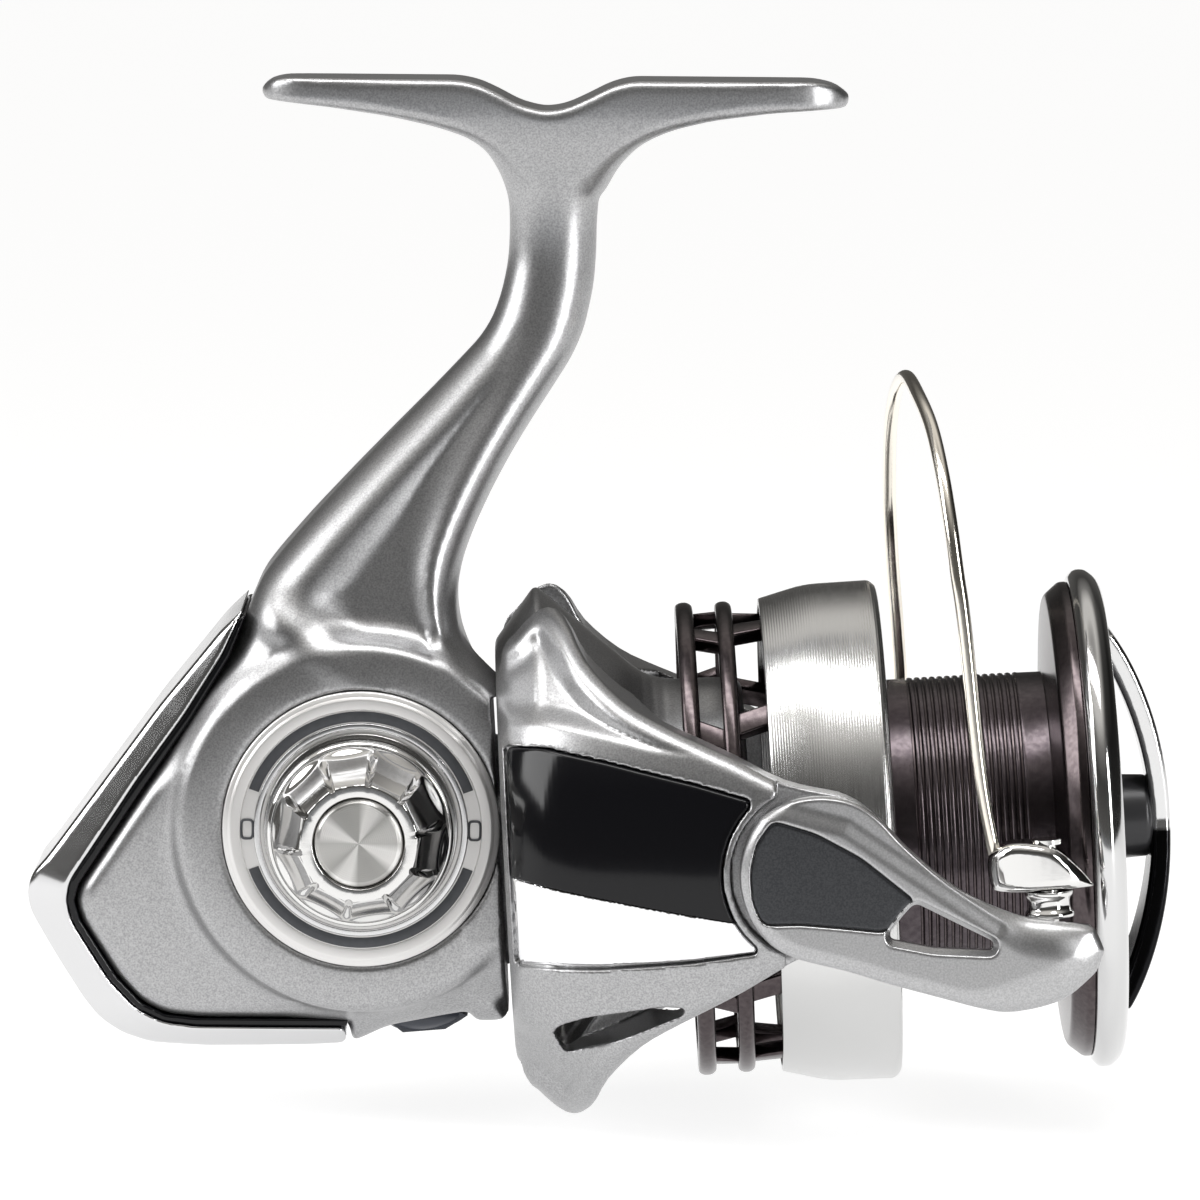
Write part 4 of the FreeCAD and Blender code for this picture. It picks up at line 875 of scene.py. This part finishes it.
# ------------------------------------------------------------ spool
def build_spool():
    skirt = fillet([(24.0, 25.0, 0.1), (24.0, 25.6, 0.25), (29.0, 26.9, 1.5), (36.1, 27.0, 0.5),
                    (36.8, 26.3, 0.3), (36.8, 20.0, 0), (35.0, 20.0, 0), (35.0, 25.2, 0.3)], 0.2)
    lathe("spool_skirt", skirt, M["skirt"], "spool_unit", n=256, replaces=("spool",), line=True,
          slot="spool_alu")
    core = fillet([(27.0, 3.05, 0), (27.0, 24.9, 0), (36.7, 24.9, 0.2), (36.85, 17.0, 0.3),
                   (36.85, 16.0, 0.2), (40, 15.95, 0), (54.2, 15.95, 0.5), (54.9, 24.3, 0.5),
                   (56.6, 25.7, 0.4), (57.35, 25.7, 0.1), (57.35, 22.5, 0.1), (56.2, 22.0, 0.2),
                   (56.2, 12.6, 0.1), (53.6, 12.6, 0), (53.6, 7.0, 0), (50.0, 7.0, 0), (50.0, 14.2, 0),
                   (31.0, 14.2, 0), (31.0, 8.0, 0), (34.0, 6.0, 0), (53.0, 6.0, 0), (53.0, 3.05, 0)], 0.2)
    lathe("spool_core", core, M["anod"], "spool_unit", n=256, line=True, slot="spool_alu")
    grooves = [(37.0, 16.1)]
    for i in range(15):
        a = 39.4 + 0.82 * i
        grooves += [(a, 16.12), (a + 0.10, 15.9), (a + 0.22, 15.9), (a + 0.32, 16.14), (a + 0.56, 16.2),
                    (a + 0.78, 16.14)]
    grooves += [(54.1, 16.12), (54.1, 15.5), (37.0, 15.5)]
    lathe("spool_arbor", grooves, M["arbor"], "spool_unit", n=256, sharp=60, line=True, slot="spool_alu")
    for k, (a, w, r) in enumerate(((15.95, 0.95, 25.6), (20.2, 0.9, 25.5))):
        prof = fillet([(a - w, 23.0, 0.1), (a - w, r - 0.3, 0.3), (a - w * 0.4, r, 0.4),
                       (a + w * 0.4, r, 0.4), (a + w, r - 0.4, 0.3), (a + w, 23.0, 0.1)], 0.2)
        lathe("spool_rim_%d" % k, prof, M["anod"], "spool_unit", n=200, line=True, slot="spool_alu")
    liner = fillet([(15.2, 22.4, 0.2), (15.2, 23.2, 0.2), (16.8, 23.2, 0), (16.8, 22.4, 0)], 0.1)
    lathe("spool_rim_liner", liner, M["anod"], "spool_unit", n=200, line=True, slot="spool_alu")
    posts = 10
    verts, faces = [], []
    for i in range(posts):
        for s0, s1, slant in ((16.0, 20.2, 4.5), (20.2, 27.2, -5.5)):
            m0 = len(verts)
            for s, da in ((s0, 0), (s1, slant)):
                for r in (23.0, 24.6):
                    for w in (-3.2, 3.2):
                        a = math.radians(360 / posts * i + da + w)
                        verts.append((s, r * math.cos(a), r * math.sin(a)))
            faces += [[m0 + k for k in face] for face in BOX_FACES]
    ob = place("spool_posts", verts, faces, M["anod"], "spool_unit", line=True, slot="spool_alu")
    mod = ob.modifiers.new("bevel", "BEVEL")
    mod.width, mod.segments = 0.0003, 3
    lip = fillet([(57.4, 22.7, 0.1), (57.4, 26.0, 0.4), (58.2, 26.95, 0.6), (59.4, 26.98, 0.6),
                  (60.5, 26.1, 0.6), (61.0, 25.0, 0.4), (60.5, 24.2, 0.5), (58.9, 22.7, 0.3)], 0.3, 6)
    lathe("lip_shell", lip, M["lip"], "spool_unit", n=256, replaces=("spool_lip_ring",), line=True,
          slot="lip_alu")


def build_knob():
    base = fillet([(57.8, 6.6, 0), (57.8, 20.0, 0.3), (58.6, 20.9, 0.4), (60.6, 21.0, 0.4), (61.2, 20.2, 0.3),
                   (60.4, 17.5, 0.8), (60.4, 6.0, 1.0), (61.4, 4.6, 0.5), (64.9, 4.4, 0.4),
                   (65.4, 3.6, 0.3), (65.4, 0, 0), (60.6, 0, 0), (60.6, 6.6, 0)], 0.2)
    lathe("knob_base", base, M["hub"], "drag_unit", n=200, replaces=("drag_knob",), line=True,
          slot="knob_metal")
    g = Grid((58.0, -6.4, -22), (68.4, 6.4, 22), 0.18)
    s, y, z = g.x, g.y, g.z
    u = np.clip(np.abs(z) / 21.0, 0, 1)
    top = 61.0 + 6.3 * (1 - u ** 2) ** 0.85
    w = 4.6 - 0.9 * (1 - u) ** 2 + 0.9 * u ** 3
    f = both(np.abs(s - (top - 1.1)) * (0.72 + 0.28 * (1 - u)) - 1.0, np.abs(y) - w, 0.6)
    f = np.maximum(f, np.hypot(y, z) - 20.9)
    v, q = g.mesh(f)
    place("knob_bar", v, q, M["knobbar"], "drag_unit", line=True, slot="knob_metal")
    teeth = fillet([(57.9, 19.6, 0.1), (57.9, 21.0, 0.2), (60.4, 21.4, 0.3), (60.9, 20.9, 0.2),
                    (60.9, 19.6, 0.1)], 0.2)
    lathe("knob_rim", teeth, M["lip"], "drag_unit", n=360, line=True, slot="knob_metal",
          wave=lambda ang, a, r: r - 0.18 * (np.cos(ang * 60) > 0.2) * (r > 20.5))


def build_lever():
    g = Grid((-18.0, -4.6, -104.0), (-7.6, 4.6, -99.2), 0.16)
    drop = g.z + 101.6 - 0.12 * (g.x + 12.9)
    f = (np.sqrt(((g.x + 12.9) / 4.5) ** 2 + (g.y / 4.0) ** 2 + (drop / 1.75) ** 2) - 1) * 1.7
    f = np.maximum(f, g.z + 100.95 - 0.18 * (g.x + 12.9))
    v, q = g.mesh(f)
    place("lever_pad", v, q, M["lever"], "lever", slot="lever_plastic")


# ------------------------------------------------------------ studio
def aim(ob, eye, target, roll=0.0):
    fwd = (Vector(target) - Vector(eye)).normalized()
    right = fwd.cross(Vector((0, 0, 1))).normalized()
    up = right.cross(fwd)
    r2 = right * math.cos(roll) + up * math.sin(roll)
    u2 = up * math.cos(roll) - right * math.sin(roll)
    rot = Matrix((r2, u2, -fwd)).transposed()
    ob.matrix_world = Matrix.Translation(Vector(eye)) @ rot.to_4x4()


def build_camera():
    """Left side of the reel, 6 degrees above level."""
    cam = bpy.data.objects.new("camera", bpy.data.cameras.new("camera"))
    bpy.context.collection.objects.link(cam)
    cam.data.lens, cam.data.sensor_width, cam.data.clip_start = 250.0, 36.0, 0.05
    target = Vector((0.00536, 0, -0.05633))
    el, az = math.radians(6.0), math.radians(-0.4)
    eye = target + CAMERA_DISTANCE * Vector((math.sin(az) * math.cos(el), -math.cos(az) * math.cos(el),
                                             math.sin(el)))
    aim(cam, eye, target, math.radians(0.5))
    bpy.context.scene.camera = cam


def build_world():
    """White for the camera; a soft banded gradient, dimmer toward +X, for everything else."""
    world = bpy.data.worlds.new("studio")
    bpy.context.scene.world = world
    world.use_nodes = True
    nt = world.node_tree
    bg = nt.nodes["Background"]
    path = nt.nodes.new("ShaderNodeLightPath")
    white = nt.nodes.new("ShaderNodeBackground")
    white.inputs["Color"].default_value = (1, 1, 1, 1)
    white.inputs["Strength"].default_value = 1.0
    coord = nt.nodes.new("ShaderNodeTexCoord")
    parts = nt.nodes.new("ShaderNodeSeparateXYZ")
    nt.links.new(coord.outputs["Generated"], parts.inputs["Vector"])
    up = nt.nodes.new("ShaderNodeMapRange")
    up.inputs["From Min"].default_value = -1.0
    nt.links.new(parts.outputs["Z"], up.inputs["Value"])
    ramp = nt.nodes.new("ShaderNodeValToRGB")
    steps = [(0.0, 0.62), (0.14, 0.95), (0.32, 0.80), (0.42, 0.26), (0.50, 0.09), (0.70, 0.05),
             (0.82, 0.20), (0.90, 0.62), (0.96, 0.62), (1.0, 0.30)]
    while len(ramp.color_ramp.elements) < len(steps):
        ramp.color_ramp.elements.new(0.5)
    for e, (at, v) in zip(ramp.color_ramp.elements, steps):
        e.position = at
        warm = 0.03 * (1 if at > 0.45 else -1)
        e.color = (v * (1 + warm), v, v * (1 - 1.6 * warm), 1)
    nt.links.new(up.outputs["Result"], ramp.inputs["Fac"])
    nt.links.new(ramp.outputs["Color"], bg.inputs["Color"])
    dim = nt.nodes.new("ShaderNodeMapRange")
    dim.interpolation_type = "SMOOTHSTEP"
    for key, v in (("From Min", 0.25), ("From Max", 0.80), ("To Min", 1.15), ("To Max", 0.25)):
        dim.inputs[key].default_value = v
    nt.links.new(parts.outputs["X"], dim.inputs["Value"])
    nt.links.new(dim.outputs["Result"], bg.inputs["Strength"])
    mixer = nt.nodes.new("ShaderNodeMixShader")
    nt.links.new(path.outputs["Is Camera Ray"], mixer.inputs[0])
    nt.links.new(bg.outputs[0], mixer.inputs[1])
    nt.links.new(white.outputs[0], mixer.inputs[2])
    nt.links.new(mixer.outputs[0], nt.nodes["World Output"].inputs["Surface"])


def area(name, loc, target, size, power, size_y=None):
    d = bpy.data.lights.new(name, "AREA")
    d.energy, d.size = power, size
    if size_y:
        d.shape, d.size_y = "RECTANGLE", size_y
    ob = bpy.data.objects.new(name, d)
    bpy.context.collection.objects.link(ob)
    aim(ob, loc, target)
    return ob


def build_lights():
    """Three long soft boxes."""
    mid = (0, 0, -0.06)
    area("key_top", (-0.05, -0.12, 0.46), mid, 0.60, 2.0, 0.16)
    area("left_box", (-0.56, -0.12, 0.24), mid, 0.36, 2.6, 0.40)
    area("right_box", (0.50, -0.42, 0.04), mid, 0.12, 2.6, 0.46)


def build_floor():
    """Plain pale floor; it ends 0.3 m in front of the reel, out of view, so front reflections stay dark."""
    floor = bpy.data.meshes.new("floor")
    corners = [(-FLOOR_SIDE, FLOOR_FRONT, FLOOR_Z), (FLOOR_SIDE, FLOOR_FRONT, FLOOR_Z),
               (FLOOR_SIDE, FLOOR_BACK, FLOOR_Z), (-FLOOR_SIDE, FLOOR_BACK, FLOOR_Z)]
    floor.from_pydata(corners, [], [(0, 1, 2, 3)])
    m = Mat("pale_floor", (0.30, 0.30, 0.30), 0.0, 0.7)
    m.set("Specular IOR Level", 0.1)
    m.set("Emission Color", (1.0, 1.0, 1.0, 1))
    m.set("Emission Strength", 0.86)
    m.ramp(m.noise(3.0, 2.0), 0.65, 0.75, "Roughness")
    floor.materials.append(m.m)
    floor = bpy.data.objects.new("floor", floor)
    bpy.context.collection.objects.link(floor)


build_lever()
build_body()
build_cover()
build_plate()
build_rotor()
build_panels()
build_bail()
build_bail_small()
build_spool()
build_knob()
build_camera()
build_world()
build_lights()
build_floor()

scene = bpy.context.scene
scene.view_settings.view_transform = "Standard"
scene.view_settings.look = "None"
